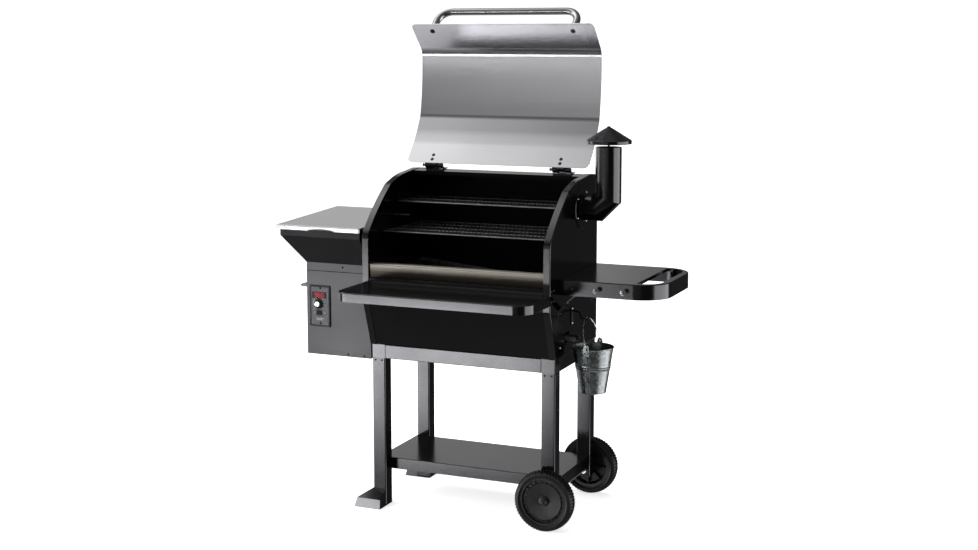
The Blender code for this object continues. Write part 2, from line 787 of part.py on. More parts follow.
def controls(grill):
    panel = box("control_panel", PANEL_X, (PANEL_FACE, -GAP), PANEL_Z, "satin_coat", grill)
    x, z = SWITCH_AT
    hole = (x - 0.009, x + 0.009), (-0.01, 0.01), (z - 0.007, z + 0.007)
    cut(panel, box("switch_hole", *hole, "wire", grill))
    window_x = (-0.5625, -0.5065)
    window_z = (0.7075, 0.7295)
    recess = (window_x[0] - GAP, window_x[1] + GAP), (-0.01, -0.002), (window_z[0] - GAP, window_z[1] + GAP)
    cut(panel, box("window_recess", *recess, "wire", grill))
    box("display_window", window_x, (PANEL_FACE - 0.0005, -0.002 - GAP), window_z, "display_red", grill)
    knob_base = PANEL_FACE - GAP
    knob_axis = joint("knob_axis", (KNOB_AT[0], knob_base, KNOB_AT[1]), grill)
    profile = [
        (0.0165, knob_base),
        (0.0165, knob_base - 0.003),
        (0.0125, knob_base - 0.005),
        (0.0115, knob_base - 0.0165),
        (0.0095, knob_base - 0.018),
    ]
    turned("control_knob", "Y", KNOB_AT, profile, 24, "black_plastic", knob_axis)
    switch_axis = joint("switch_axis", (x, -0.0035, z), grill)
    outline = [(-0.0016, z - 0.006), (-0.0016, z + 0.006), (-0.0052, z + 0.006), (-0.0072, z - 0.006)]
    prism("power_switch", "X", outline, (x - 0.008, x + 0.008), "black_plastic", switch_axis)


def side_handle(grill):
    """A flat bar loop on the hopper's left wall."""
    wall, grip = HOPPER_LEFT - GAP, HOPPER_LEFT - 0.046
    near, far, bar = 0.030, 0.280, 0.016
    outline = [
        (wall, near),
        (wall, near + bar),
        (grip + bar, near + bar),
        (grip + bar, far - bar),
        (wall, far - bar),
        (wall, far),
        (grip, far),
        (grip, near),
    ]
    prism("side_handle", "Z", outline, (0.738, 0.746), "black_coat", grill)


# --- main lid -------------------------------------------------------------------------------------


def roof_slope():
    start, end = PANEL_CORNERS[5], PANEL_CORNERS[6]
    return math.atan2(end[1] - start[1], end[0] - start[0])


def closed_lid_path():
    """The lid's inner face when closed, from its hinge edge over the front to its lower edge, as (y, z)."""
    bends = PANEL_CORNERS[5:1:-1]
    roof_y, roof_z, _ = bends[0]
    hinge_z = roof_z + (LID_HINGE_Y - roof_y) * math.tan(roof_slope())
    corners = [(LID_HINGE_Y, hinge_z), *[bend[:2] for bend in bends], (bends[-1][0], LID_LOWER_EDGE)]
    moved = offset(corners, LID_STANDOFF, closed=False)
    radii = [0.0, *[bend[2] + LID_STANDOFF for bend in bends], 0.0]
    return fillet([(y, z, r) for (y, z), r in zip(moved, radii)], steps=6, closed=False)


def lid_pivot():
    """The hinge pins' axis, above the lid's outer face at its hinge edge."""
    slope = roof_slope()
    y, z = closed_lid_path()[0]
    rise = SHEET + PIN_HEIGHT
    return (y - rise * math.sin(slope), z + rise * math.cos(slope))


def opened(y, z):
    """Where a point of the closed lid lies with the lid open."""
    pivot = lid_pivot()
    moved = turned_by(Vector((y - pivot[0], z - pivot[1])), -math.radians(LID_OPENING))
    return (pivot[0] + moved.x, pivot[1] + moved.y)


def corner_inset(distance):
    """How far the lid's side edge draws in, this far from its end."""
    if distance >= LID_CORNER:
        return 0.0
    return LID_CORNER - math.sqrt(LID_CORNER**2 - (LID_CORNER - distance) ** 2)


def with_corner_stations(path):
    """The path with extra points near both ends, where the lid's corners are rounded."""
    shares = (0.05, 0.18, 0.38, 0.65, 1.0)
    first, second = Vector(path[0]), Vector(path[1])
    last, before = Vector(path[-1]), Vector(path[-2])
    head = [tuple(first + (second - first).normalized() * LID_CORNER * s) for s in shares]
    tail = [tuple(last + (before - last).normalized() * LID_CORNER * s) for s in reversed(shares)]
    return [path[0], *head, *path[1:-1], *tail, path[-1]]


def lid(grill):
    axis = joint("lid_axis", (0.0, *lid_pivot()), grill)
    inner = with_corner_stations(closed_lid_path())
    outer = offset(inner, SHEET, closed=False)
    lengths = [0.0]
    for a, b in zip(inner, inner[1:]):
        lengths.append(lengths[-1] + (Vector(b) - Vector(a)).length)
    loops = []
    for near, far, length in zip(inner, outer, lengths):
        half = LID_HALF - corner_inset(min(length, lengths[-1] - length))
        near, far = opened(*near), opened(*far)
        loops.append([(-half, *near), (half, *near), (half, *far), (-half, *far)])
    skin("main_lid", loops, "brushed_steel", axis)
    lid_handle(axis)
    for side, way in (("left", -1), ("right", 1)):
        hinge(side, way * HINGE_X, axis, grill)


def lid_handle(axis):
    face = PANEL_CORNERS[2][0] - LID_STANDOFF - SHEET - GAP
    z = LID_LOWER_EDGE + HANDLE_FROM_EDGE
    out = face - HANDLE_STANDOFF
    corners = [
        (HANDLE_X[0], face, 0.0),
        (HANDLE_X[0], out, HANDLE_BEND),
        (HANDLE_X[1], out, HANDLE_BEND),
        (HANDLE_X[1], face, 0.0),
    ]
    path = fillet(corners, steps=6, closed=False)
    wire("lid_handle", [(x, *opened(y, z)) for x, y in path], HANDLE_RADIUS, 14, "polished_steel", axis)


def hinge_point(along, above, is_open=False):
    """A point by its place along the roof's slope and above it, from the pin's axis."""
    pivot = lid_pivot()
    turn = roof_slope() - (math.radians(LID_OPENING) if is_open else 0.0)
    moved = turned_by(Vector((along, above)), turn)
    return (pivot[0] + moved.x, pivot[1] + moved.y)


def knuckle_arc(start, end, steps=8):
    turns = [math.radians(start + (end - start) * i / steps) for i in range(steps + 1)]
    return [(KNUCKLE * math.cos(t), KNUCKLE * math.sin(t)) for t in turns]


def hinge(side, x, axis, grill):
    """Two lugs on the roof strip carry a pin; a leaf bolted to the lid turns on it between them."""
    low = -PIN_HEIGHT + GAP
    tail = -0.036
    leaf = [(tail, low), (0.0045, low), *knuckle_arc(0, 180), (-KNUCKLE, low + PLATE), (tail, low + PLATE)]
    half = LEAF_WIDTH / 2
    outline = [hinge_point(*p, is_open=True) for p in leaf]
    leaf_node = prism(f"{side}_hinge_leaf", "X", outline, (x - half, x + half), "black_coat", axis)
    reach = half + LUG_WIDTH + 0.01
    span = (x - reach, x + reach)
    bore = rod(f"{side}_hinge_bore", "X", lid_pivot(), PIN_RADIUS + 0.0002, span, "wire", grill)
    cut(leaf_node, bore)
    seat = -(PIN_HEIGHT + SHEET + LID_STANDOFF) - SHEET
    base = [
        (0.045, seat),
        (0.045, seat + PLATE),
        (0.016, seat + PLATE),
        *knuckle_arc(0, 270, 12),
        (0.0025, -0.0100),
        (0.0025, seat),
    ]
    edge = half + LUG_WIDTH
    outline = [hinge_point(*p) for p in base]
    base_node = prism(f"{side}_hinge_base", "X", outline, (x - edge, x + edge), "black_coat", grill)
    window = [(-0.02, seat + PLATE + 0.0005), (0.0115, seat + PLATE + 0.0005), (0.0115, 0.02), (-0.02, 0.02)]
    outline = [hinge_point(*p) for p in window]
    clear = half + 0.0005
    cut(base_node, prism(f"{side}_hinge_window", "X", outline, (x - clear, x + clear), "wire", grill))
    cut(base_node, bore)
    span = (x - edge - 0.006, x + edge + 0.001)
    rod(f"{side}_hinge_pin", "X", lid_pivot(), PIN_RADIUS, span, "raw_steel", grill)


# --- shelves --------------------------------------------------------------------------------------


def front_shelf(grill):
    corners = [
        (-FRONT_SHELF_HALF, PANEL_CORNERS[2][0] - GAP, 0.0),
        (-FRONT_SHELF_HALF, FRONT_SHELF_FRONT, FRONT_SHELF_CORNER),
        (FRONT_SHELF_HALF, FRONT_SHELF_FRONT, FRONT_SHELF_CORNER),
        (FRONT_SHELF_HALF, PANEL_CORNERS[2][0] - GAP, 0.0),
    ]
    bottom = FRONT_SHELF_TOP - FRONT_SHELF_LIP
    pan("front_shelf", "Z", fillet(corners, steps=6), FRONT_SHELF_TOP, bottom, "black_coat", grill)


def side_shelf(grill):
    start = CHAMBER_HALF + GAP
    corners = [
        (start, SIDE_SHELF_FRONT, 0.0),
        (SIDE_SHELF_END, SIDE_SHELF_FRONT, SIDE_SHELF_CORNER),
        (SIDE_SHELF_END, SIDE_SHELF_REAR, SIDE_SHELF_CORNER),
        (start, SIDE_SHELF_REAR, 0.0),
    ]
    bottom = SIDE_SHELF_TOP - SIDE_SHELF_LIP
    shelf = pan("side_shelf", "Z", fillet(corners, steps=8), SIDE_SHELF_TOP, bottom, "black_coat", grill)
    front, rear = SIDE_SHELF_FRONT + GRIP_RIM, SIDE_SHELF_REAR - GRIP_RIM
    end = SIDE_SHELF_END - GRIP_RIM
    grip = [
        (GRIP_START, front, 0.006),
        (end, front, GRIP_BEND),
        (end, rear, GRIP_BEND),
        (GRIP_START, rear, 0.006),
    ]
    through = (SIDE_SHELF_TOP - 0.01, SIDE_SHELF_TOP + 0.01)
    cut(shelf, prism("grip_opening", "Z", fillet(grip, steps=8), through, "wire", grill))
    under = SIDE_SHELF_TOP - SHEET - GAP
    low, high = BRACE_Z
    reach = start + under - high
    brace = [(start, low), (start, high), (reach, under), (reach + BRACE_TAB, under)]
    for name, y in (("front", 0.012), ("rear", SIDE_SHELF_REAR - 0.012 - BRACE_WIDTH)):
        folded(f"{name}_shelf_brace", "Y", brace, (y, y + BRACE_WIDTH), "black_coat", grill)


# --- chimney --------------------------------------------------------------------------------------


def chimney(grill):
    wall = CHAMBER_HALF + GAP
    radius = CHIMNEY_RADIUS
    path = [
        (wall + PLATE, CHIMNEY_Y, CHIMNEY_Z),
        (CHIMNEY_X - ELBOW, CHIMNEY_Y, CHIMNEY_Z),
        (CHIMNEY_X, CHIMNEY_Y, CHIMNEY_Z + ELBOW),
        (CHIMNEY_X, CHIMNEY_Y, CHIMNEY_TOP),
    ]
    outer = tube_rings(path, radius, 24)
    flange = tube_rings([(wall, CHIMNEY_Y, CHIMNEY_Z), path[0]], 0.072, 24)
    inner = tube_rings([(wall, CHIMNEY_Y, CHIMNEY_Z), *path[1:]], radius - SHEET, 24)
    skin("chimney_pipe", flange + outer + inner[::-1], "black_coat", grill, ring=True)
    axis = joint("cap_axis", (CHIMNEY_X, CHIMNEY_Y, CHIMNEY_TOP), grill)
    under = CAP_RIM + CAP_BAND
    profile = [
        (0.004, CHIMNEY_TOP - 0.080),
        (0.004, CAP_APEX - 0.012),
        (CAP_RADIUS - SHEET, under - 0.001),
        (CAP_RADIUS - SHEET, CAP_RIM),
        (CAP_RADIUS, CAP_RIM),
        (CAP_RADIUS, under),
        (0.010, CAP_APEX - 0.005),
        (0.006, CAP_APEX - 0.004),
        (0.005, CAP_APEX),
    ]
    turned("chimney_cap", "Z", (CHIMNEY_X, CHIMNEY_Y), profile, 32, "black_coat", axis)


# --- grease bucket --------------------------------------------------------------------------------


def grease_spout(grill):
    """A channel that leads grease through the end panel, falling outwards."""
    y = (0.074, 0.116)
    path = [(y[0], 0.630), (y[0], 0.616), (y[1], 0.616), (y[1], 0.630)]
    outline = list(path) + offset(path, -0.0012, closed=False)[::-1]
    loops = [[(x, a, b + lift) for a, b in outline] for x, lift in ((0.250, 0.006), (0.374, -0.002))]
    skin("grease_spout", loops, "raw_steel", grill)


def bucket(grill):
    x, y = BUCKET_AT
    bail_axis = joint("bail_axis", (BAIL_APEX[0], y, BAIL_APEX[1]), grill)
    bucket_axis = joint("bucket_axis", (x, y, EAR_Z), bail_axis)
    wall = 0.001
    foot, rim = BUCKET_RADII
    profile = [
        (foot - wall, BUCKET_BOTTOM + 0.004),
        (rim - wall, BUCKET_RIM),
        (rim + 0.001, BUCKET_RIM),
        (rim + 0.0015, BUCKET_RIM - 0.0025),
        (rim - 0.0003, BUCKET_RIM - 0.005),
        (foot, BUCKET_BOTTOM),
        (foot - wall, BUCKET_BOTTOM),
        (foot - wall, BUCKET_BOTTOM + 0.003),
    ]
    pail = turned("grease_bucket", "Z", BUCKET_AT, profile, 32, "galvanised", bucket_axis)
    for side, way in (("front", -1), ("rear", 1)):
        reach = sorted((y + way * (rim - 0.0018), y + way * (rim + 0.0032)))
        ear = prism(f"{side}_ear", "Y", ear_outline(x), reach, "galvanised", bucket_axis)
        join(pail, ear)
    span = (y - 0.09, y + 0.09)
    cut(pail, rod("ear_holes", "Y", (x, EAR_Z), BAIL_WIRE + 0.0007, span, "wire", bucket_axis, 12))
    lean = x - BAIL_APEX[0]
    rise = BAIL_APEX[1] - EAR_Z
    reach = rim + 0.0065
    arch = []
    for i in range(17):
        turn = math.pi * i / 16
        height = math.sin(turn)
        arch.append((x - lean * height, y - reach * math.cos(turn), EAR_Z + rise * height))
    ends = [(x, y - rim + 0.004, EAR_Z), (x, y + rim - 0.004, EAR_Z)]
    wire("bucket_bail", [ends[0], *arch, ends[1]], BAIL_WIRE, 8, "galvanised", bail_axis)


def ear_outline(x):
    return fillet(
        [
            (x - 0.010, BUCKET_RIM - 0.020, 0.0),
            (x + 0.010, BUCKET_RIM - 0.020, 0.0),
            (x + 0.010, EAR_Z + 0.008, 0.008),
            (x - 0.010, EAR_Z + 0.008, 0.008),
        ],
        steps=3,
    )


def bucket_hook(grill):
    y = BUCKET_AT[1]
    x, z = BAIL_APEX
    rest = z - BAIL_WIRE - GAP - HOOK_RADIUS
    plate_y = 0.1427
    wall = CHAMBER_HALF + GAP
    width = (plate_y - 0.011, plate_y + 0.011)
    plate = box("bucket_hook", (wall, wall + 0.002), width, (0.655, 0.716), "wire", grill)
    path = [
        (wall + 0.0008, plate_y, 0.704),
        (wall + 0.024, plate_y, 0.700),
        (x - 0.016, y, rest),
        (x + 0.0046, y, rest),
        (x + 0.0121, y, rest + 0.0101),
    ]
    join(plate, wire("hook_arm", path, HOOK_RADIUS, 10, "wire", grill))


def main():
    clear_scene()
    grill = joint("grill", (0.0, 0.0, 0.0))
    legs(grill)
    rails(grill)
    lower_shelf(grill)
    feet(grill)
    running_gear(grill)
    end_panels(grill)
    barrel(grill)
    grates(grill)
    drip_tray(grill)
    fire(grill)
    pellet_feed(grill)
    fan(grill)
    hopper_casing(grill)
    hopper_bin(grill)
    hopper_lid(grill)
    controls(grill)
    side_handle(grill)
    lid(grill)
    front_shelf(grill)
    side_shelf(grill)
    chimney(grill)
    grease_spout(grill)
    bucket(grill)
    bucket_hook(grill)
    grill.location = (-0.5 * sum(FOOTPRINT_X), -0.5 * sum(FOOTPRINT_Y), 0.0)


main()
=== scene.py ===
"""Looks for the pellet smoker grill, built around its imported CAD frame.

World metres: +X to the chimney, -Y to the cook, Z = 0 the ground. CART is the place of the cart's own origin:
the middle of the chamber, the front face of the front legs, the ground. Sizes below are in the cart's frame.
"""

import math

import bmesh
import bpy
from mathutils import Matrix, Vector


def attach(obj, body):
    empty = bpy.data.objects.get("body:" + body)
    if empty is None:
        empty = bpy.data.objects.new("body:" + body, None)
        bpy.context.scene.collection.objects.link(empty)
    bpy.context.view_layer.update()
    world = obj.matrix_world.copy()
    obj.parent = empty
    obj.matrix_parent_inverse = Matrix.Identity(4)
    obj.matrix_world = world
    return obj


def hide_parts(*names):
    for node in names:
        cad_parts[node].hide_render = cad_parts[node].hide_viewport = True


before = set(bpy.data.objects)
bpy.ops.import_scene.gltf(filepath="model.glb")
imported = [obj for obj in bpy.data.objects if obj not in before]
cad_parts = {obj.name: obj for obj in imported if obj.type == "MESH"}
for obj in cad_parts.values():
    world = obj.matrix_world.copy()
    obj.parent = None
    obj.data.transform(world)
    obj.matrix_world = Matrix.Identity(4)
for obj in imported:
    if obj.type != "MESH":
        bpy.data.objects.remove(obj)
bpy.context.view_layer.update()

CART = Vector((-0.0115, -0.096, 0.0))
SHEET = 0.0015
BEND = 0.0022  # outer radius of a folded edge
GAP = 0.0003  # between neighbouring parts
FRONT, BACK, LEFT, RIGHT, UP = (0, -1, 0), (0, 1, 0), (-1, 0, 0), (1, 0, 0), (0, 0, 1)

CART_HALF, CART_DEPTH, LEG = 0.3325, 0.395, 0.048
CHAMBER_HALF = 0.337
PANEL_CORNERS = [
    (-0.005, 0.5643, 0.0),
    (-0.061, 0.727, 0.03),
    (-0.061, 0.951, 0.045),
    (0.024, 1.04, 0.85),
    (0.112, 1.103, 0.055),
    (0.19, 1.1275, 0.3),
    (0.326, 1.1405, 0.04),
    (0.395, 1.135, 0.006),
    (0.395, 0.5643, 0.0),
]
FLANGE = 0.0235
ROOF_SLOPE = math.atan2(1.1405 - 1.1275, 0.326 - 0.19)
LID_OPENING = math.radians(136.0)
LID_HALF = 0.34
LID_CORNER = 0.02
LID_STANDOFF = 0.002
LID_HINGE_Y = 0.301
LID_LOWER_EDGE = 0.82
PIVOT = (0.29948, 1.15404)


# --- procedural materials ---


def fill(node, **inputs):
    """Sets a node's inputs to constants, or links them to other nodes' outputs."""
    for name, value in inputs.items():
        socket = node.inputs[name.replace("_", " ")]
        if isinstance(value, bpy.types.NodeSocket):
            node.id_data.links.new(value, socket)
        else:
            socket.default_value = (*value, 1.0) if socket.type == "RGBA" else value
    return node


def graded(node, stops):
    """Gives a ramp its stops, each a place and a colour or a grey."""
    elements = node.color_ramp.elements
    while len(elements) < len(stops):
        elements.new(0.5)
    for element, (place, colour) in zip(elements, stops):
        element.position = place
        element.color = (*colour, 1.0) if isinstance(colour, tuple) else (colour, colour, colour, 1.0)
    return node.outputs["Color"]


class Shader:
    """A Principled material with helpers for adding procedural nodes."""

    def __init__(self, name, colour, roughness, metallic=0.0, **sockets):
        self.material = bpy.data.materials.new(name)
        self.material.use_nodes = True
        self.tree = self.material.node_tree
        self.bsdf = self.tree.nodes["Principled BSDF"]
        fill(self.bsdf, Base_Color=colour, Roughness=roughness, Metallic=metallic, **sockets)
        self.coordinates = self.add("TexCoord").outputs["Object"]

    def add(self, kind, **inputs):
        return fill(self.tree.nodes.new(f"ShaderNode{kind}"), **inputs)

    def scaled(self, scale):
        return self.add("Mapping", Scale=scale, Vector=self.coordinates).outputs["Vector"]

    def noise(self, scale, detail=3.0, stretch=(1.0, 1.0, 1.0)):
        return self.add("TexNoise", Scale=scale, Detail=detail, Vector=self.scaled(stretch)).outputs["Fac"]

    def cells(self, scale, output="Distance", stretch=(1.0, 1.0, 1.0)):
        return self.add("TexVoronoi", Scale=scale, Vector=self.scaled(stretch)).outputs[output]

    def ramp(self, source, *stops):
        return graded(self.add("ValToRGB", Fac=source), stops)

    def spread(self, source, low, high, start=0.3, end=0.7):
        made = self.add("MapRange", Value=source, From_Min=start, From_Max=end, To_Min=low, To_Max=high)
        return made.outputs["Result"]

    def multiply(self, *sources):
        made = self.add("Mix", Factor=1.0)
        made.data_type, made.blend_type = "RGBA", "MULTIPLY"
        for source, socket in zip(sources, (6, 7)):
            self.tree.links.new(source, made.inputs[socket])
        return made.outputs[2]

    def bump(self, source, strength, distance, **below):
        return self.add("Bump", Strength=strength, Distance=distance, Height=source, **below).outputs["Normal"]

    def finish(self, **sources):
        fill(self.bsdf, **sources)
        return self.material


def powder_coat(name, colour, roughness, texture, specular, dust):
    """Baked paint: a fine orange-peel skin, slight gloss changes and a breath of dust on it."""
    made = Shader(name, colour, roughness, Specular_IOR_Level=specular, Specular_Tint=(0.955, 0.95, 1.0))
    light = tuple(c + dust for c in colour)
    peel = made.bump(made.noise(1100.0, 2.0), texture, 0.00012)
    return made.finish(
        Base_Color=made.ramp(made.noise(5.0, 4.0), (0.35, colour), (0.7, light)),
        Roughness=made.spread(made.noise(7.0), roughness - 0.02, roughness + 0.025),
        Normal=made.bump(made.noise(260.0, 2.0), texture * 0.3, 0.0001, Normal=peel),
    )


def brushed(name, colour, roughness, anisotropy, smoked=None):
    """Stainless sheet with fine parallel scratches along X, with painted shade that darkens it from one height down
    to another.
    """
    made = Shader(name, colour, roughness, 1.0, Anisotropic=anisotropy)
    across = made.add("Tangent")
    across.direction_type, across.axis = "RADIAL", "X"
    fine = made.noise(1.0, 3.0, (5.0, 2400.0, 2400.0))
    wide = made.noise(1.0, 2.0, (1.25, 600.0, 600.0))
    dark, light = tuple(c * 0.95 for c in colour), tuple(min(1.0, c * 1.03) for c in colour)
    cloud = made.ramp(made.noise(4.0), (0.3, 0.93), (0.75, 1.0))
    shaded = made.multiply(made.ramp(fine, (0.3, dark), (0.7, light)), cloud)
    # painted shade: the colour darkens from the top height down to the bottom one, where the table below blocks the
    # sheet's reflection
    if smoked:
        height = made.add("SeparateXYZ", Vector=made.coordinates).outputs["Z"]
        deepest_shade, deep_shade, half_shade, unshaded = (0.045, 0.04, 0.036), (0.16, 0.145, 0.13), (0.5, 0.48, 0.45), (1.0, 0.98, 0.95)
        share = made.spread(height, 0.0, 1.0, *smoked)
        shaded = made.multiply(shaded, made.ramp(share, (0.0, deepest_shade), (0.45, deep_shade), (0.8, half_shade), (1.0, unshaded)))
    return made.finish(
        Tangent=across.outputs["Tangent"],
        Base_Color=shaded,
        Roughness=made.spread(wide, roughness - 0.02, roughness + 0.03),
        Normal=made.bump(fine, 0.08, 0.00003),
    )


def plain_steel(name, colour, roughness, spots, strength):
    made = Shader(name, colour, roughness, 1.0)
    dark = tuple(c * 0.7 for c in colour)
    return made.finish(
        Base_Color=made.ramp(made.noise(spots, 5.0), (0.35, dark), (0.65, colour)),
        Roughness=made.spread(made.noise(spots * 2.5, 4.0), roughness - 0.08, roughness + 0.1),
        Normal=made.bump(made.noise(spots * 8.0, 2.0), strength, 0.0002),
    )


def polished(name, colour, roughness):
    """Satin-polished bar, with only the faintest unevenness."""
    made = Shader(name, colour, roughness, 1.0)
    dark = tuple(c * 0.93 for c in colour)
    return made.finish(
        Base_Color=made.ramp(made.noise(9.0), (0.35, dark), (0.7, colour)),
        Roughness=made.spread(made.noise(14.0), roughness - 0.015, roughness + 0.015),
        Normal=made.bump(made.noise(900.0, 2.0), 0.03, 0.00002),
    )


def galvanised(name):
    """Zinc spangle: flat crystals a few millimetres wide, each with its own tone and gloss."""
    made = Shader(name, (0.55, 0.58, 0.59), 0.3, 1.0)
    grey = made.add("RGBToBW", Color=made.cells(210.0, "Color", (1.0, 1.0, 0.7))).outputs["Val"]
    tone = made.ramp(grey, (0.15, (0.19, 0.21, 0.215)), (0.55, (0.27, 0.29, 0.295)), (0.9, (0.39, 0.41, 0.415)))
    stain = made.ramp(made.noise(40.0, 5.0, (1.0, 1.0, 0.35)), (0.35, 0.8), (0.62, 1.0))
    return made.finish(
        Base_Color=made.multiply(tone, stain),
        Roughness=made.spread(grey, 0.26, 0.38, 0.2, 0.8),
        Normal=made.bump(made.noise(60.0), 0.15, 0.0003, Normal=made.bump(grey, 0.08, 0.0002)),
    )


def moulded(name, colour, roughness, texture):
    """Moulded plastic with a fine spark-eroded grain."""
    made = Shader(name, colour, roughness, Specular_IOR_Level=0.45)
    light = tuple(c * 1.5 + 0.002 for c in colour)
    return made.finish(
        Base_Color=made.ramp(made.noise(30.0, 4.0), (0.35, colour), (0.75, light)),
        Roughness=made.spread(made.noise(140.0), roughness - 0.06, roughness + 0.08),
        Normal=made.bump(made.noise(1400.0, 2.0), texture, 0.0002),
    )


def rubber(name):
    made = Shader(name, (0.014, 0.014, 0.015), 0.62, Specular_IOR_Level=0.4)
    dusty = made.noise(45.0, 5.0)
    return made.finish(
        Base_Color=made.ramp(dusty, (0.4, (0.005, 0.005, 0.0055)), (0.75, (0.013, 0.013, 0.0125))),
        Roughness=made.spread(dusty, 0.33, 0.5),
        Normal=made.bump(made.noise(700.0), 0.35, 0.0003),
    )


def smoked_window(name):
    """A smoked red window, unlit."""
    made = Shader(name, (0.05, 0.004, 0.005), 0.3, Specular_IOR_Level=0.2)
    return made.finish(
        Base_Color=made.ramp(made.noise(260.0, 1.0), (0.45, (0.012, 0.001, 0.002)), (0.62, (0.034, 0.003, 0.004))),
        Roughness=made.spread(made.noise(300.0), 0.26, 0.36),
    )


def lit_digits(name):
    glow = {"Emission_Strength": 0.45, "Emission_Color": (1.0, 0.05, 0.06)}
    made = Shader(name, (0.5, 0.04, 0.05), 0.4, Specular_IOR_Level=0.2, **glow)
    return made.finish(Roughness=made.spread(made.noise(400.0), 0.3, 0.45))


def panel_print(name):
    """The control panel's face: grey print with a fine pale fleck."""
    made = Shader(name, (0.12, 0.12, 0.13), 0.38)
    fleck = made.cells(620.0)
    pale, grey, dark = (0.6, 0.6, 0.63), (0.16, 0.16, 0.17), (0.07, 0.07, 0.075)
    return made.finish(
        Base_Color=made.ramp(fleck, (0.1, pale), (0.26, grey), (0.6, dark)),
        Roughness=made.spread(made.noise(200.0), 0.34, 0.44),
        Normal=made.bump(fleck, 0.1, 0.0001),
    )


LOOKS = {
    "black_coat": (powder_coat, (0.0022, 0.0022, 0.0026), 0.165, 0.16, 0.6, 0.0008),
    "satin_coat": (powder_coat, (0.005, 0.005, 0.0058), 0.17, 0.2, 0.65, 0.002),
    "leg_coat": (powder_coat, (0.005, 0.005, 0.0058), 0.145, 0.2, 0.43, 0.002),
    "matt_coat": (powder_coat, (0.005, 0.005, 0.0057), 0.33, 0.3, 0.68, 0.002),
    "dull_coat": (powder_coat, (0.004, 0.004, 0.0045), 0.36, 0.3, 0.25, 0.001),
    "soot_coat": (powder_coat, (0.0008, 0.0008, 0.0009), 0.6, 0.35, 0.08, 0.0004),
    "brushed_steel": (brushed, (0.52, 0.515, 0.53), 0.15, 0.3),
    "lid_steel": (brushed, (0.56, 0.555, 0.575), 0.215, 0.2),
    "lid_outside": (brushed, (0.36, 0.355, 0.37), 0.34, 0.5),
    # the fascia's last pair is the span of heights of its painted shade, darkest at its bottom edge
    "fascia_steel": (brushed, (0.42, 0.4, 0.37), 0.36, 0.6, (0.803, 0.85)),
    "polished_steel": (polished, (0.34, 0.33, 0.335), 0.27),
    "galvanised": (galvanised,),
    "wire": (plain_steel, (0.62, 0.61, 0.61), 0.36, 200.0, 0.3),
    "black_plastic": (moulded, (0.006, 0.006, 0.0065), 0.4, 0.35),
    "cap_plastic": (moulded, (0.02, 0.02, 0.021), 0.3, 0.2),
    "tyre_rubber": (rubber,),
    "raw_steel": (plain_steel, (0.27, 0.265, 0.26), 0.45, 80.0, 0.35),
    "zinc_steel": (plain_steel, (0.66, 0.66, 0.66), 0.22, 120.0, 0.05),
    "dark_bolt": (plain_steel, (0.055, 0.055, 0.06), 0.38, 120.0, 0.1),
    "pale_ink": (moulded, (0.55, 0.55, 0.57), 0.5, 0.1),
    "black_ink": (moulded, (0.008, 0.008, 0.009), 0.45, 0.1),
    "panel_print": (panel_print,),
    "display_lit": (lit_digits,),
}
MATERIALS = {name: make(f"{name}_look", *values) for name, (make, *values) in LOOKS.items()}
MATERIALS["display_red"] = smoked_window("display_look")


# --- mesh helpers ---


def bevel_edges(obj, width, angle=35):
    edge = obj.modifiers.new("edge", "BEVEL")
    edge.width, edge.segments, edge.limit_method, edge.angle_limit = width, 2, "ANGLE", math.radians(angle)


def piece(name, mesh, look, body="root", stands_for=(), smooth=30.0, bevel=0.0):
    """A new piece from a mesh in the cart's frame, riding on a body, in place of CAD nodes or beside them."""
    mesh.transform(Matrix.Translation(CART))
    mesh.shade_smooth()
    mesh.set_sharp_from_angle(angle=math.radians(smooth))
    mesh.materials.append(MATERIALS[look])
    obj = bpy.data.objects.new(name, mesh)
    bpy.context.scene.collection.objects.link(obj)
    if bevel:
        bevel_edges(obj, bevel)
    obj.modifiers.new("weights", "WEIGHTED_NORMAL").keep_sharp = True
    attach(obj, body)
    if stands_for:
        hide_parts(*stands_for)
    return obj


def skin(loops, ring=False):
    """Bridges point loops of equal length, with capped ends or joined round."""
    count = len(loops[0])
    points = [tuple(point) for loop in loops for point in loop]
    faces = []
    for span in range(len(loops) if ring else len(loops) - 1):
        near, far = span * count, (span + 1) % len(loops) * count
        for i in range(count):
            j = (i + 1) % count
            faces.append((near + i, near + j, far + j, far + i))
    if not ring:
        faces.append(tuple(range(count)))
        faces.append(tuple(range(len(points) - count, len(points))))
    mesh = bpy.data.meshes.new("skin")
    mesh.from_pydata(points, [], faces)
    work = bmesh.new()
    work.from_mesh(mesh)
    bmesh.ops.recalc_face_normals(work, faces=work.faces)
    work.to_mesh(mesh)
    work.free()
    return mesh


def joined(meshes):
    work = bmesh.new()
    for mesh in meshes:
        work.from_mesh(mesh)
        bpy.data.meshes.remove(mesh)
    made = bpy.data.meshes.new("joined")
    work.to_mesh(made)
    work.free()
    return made


def at(axis, first, second, along):
    return {"X": (along, first, second), "Y": (first, along, second), "Z": (first, second, along)}[axis]


def about(middle, half):
    return (middle - half, middle + half)


def rectangle(a, b):
    return [(a[0], b[0]), (a[1], b[0]), (a[1], b[1]), (a[0], b[1])]


def rounded(a, b, radius, steps):
    return fillet([(*corner, radius) for corner in rectangle(a, b)], steps)


def turned_by(vector, angle):
    cosine, sine = math.cos(angle), math.sin(angle)
    return Vector((vector[0] * cosine - vector[1] * sine, vector[0] * sine + vector[1] * cosine))


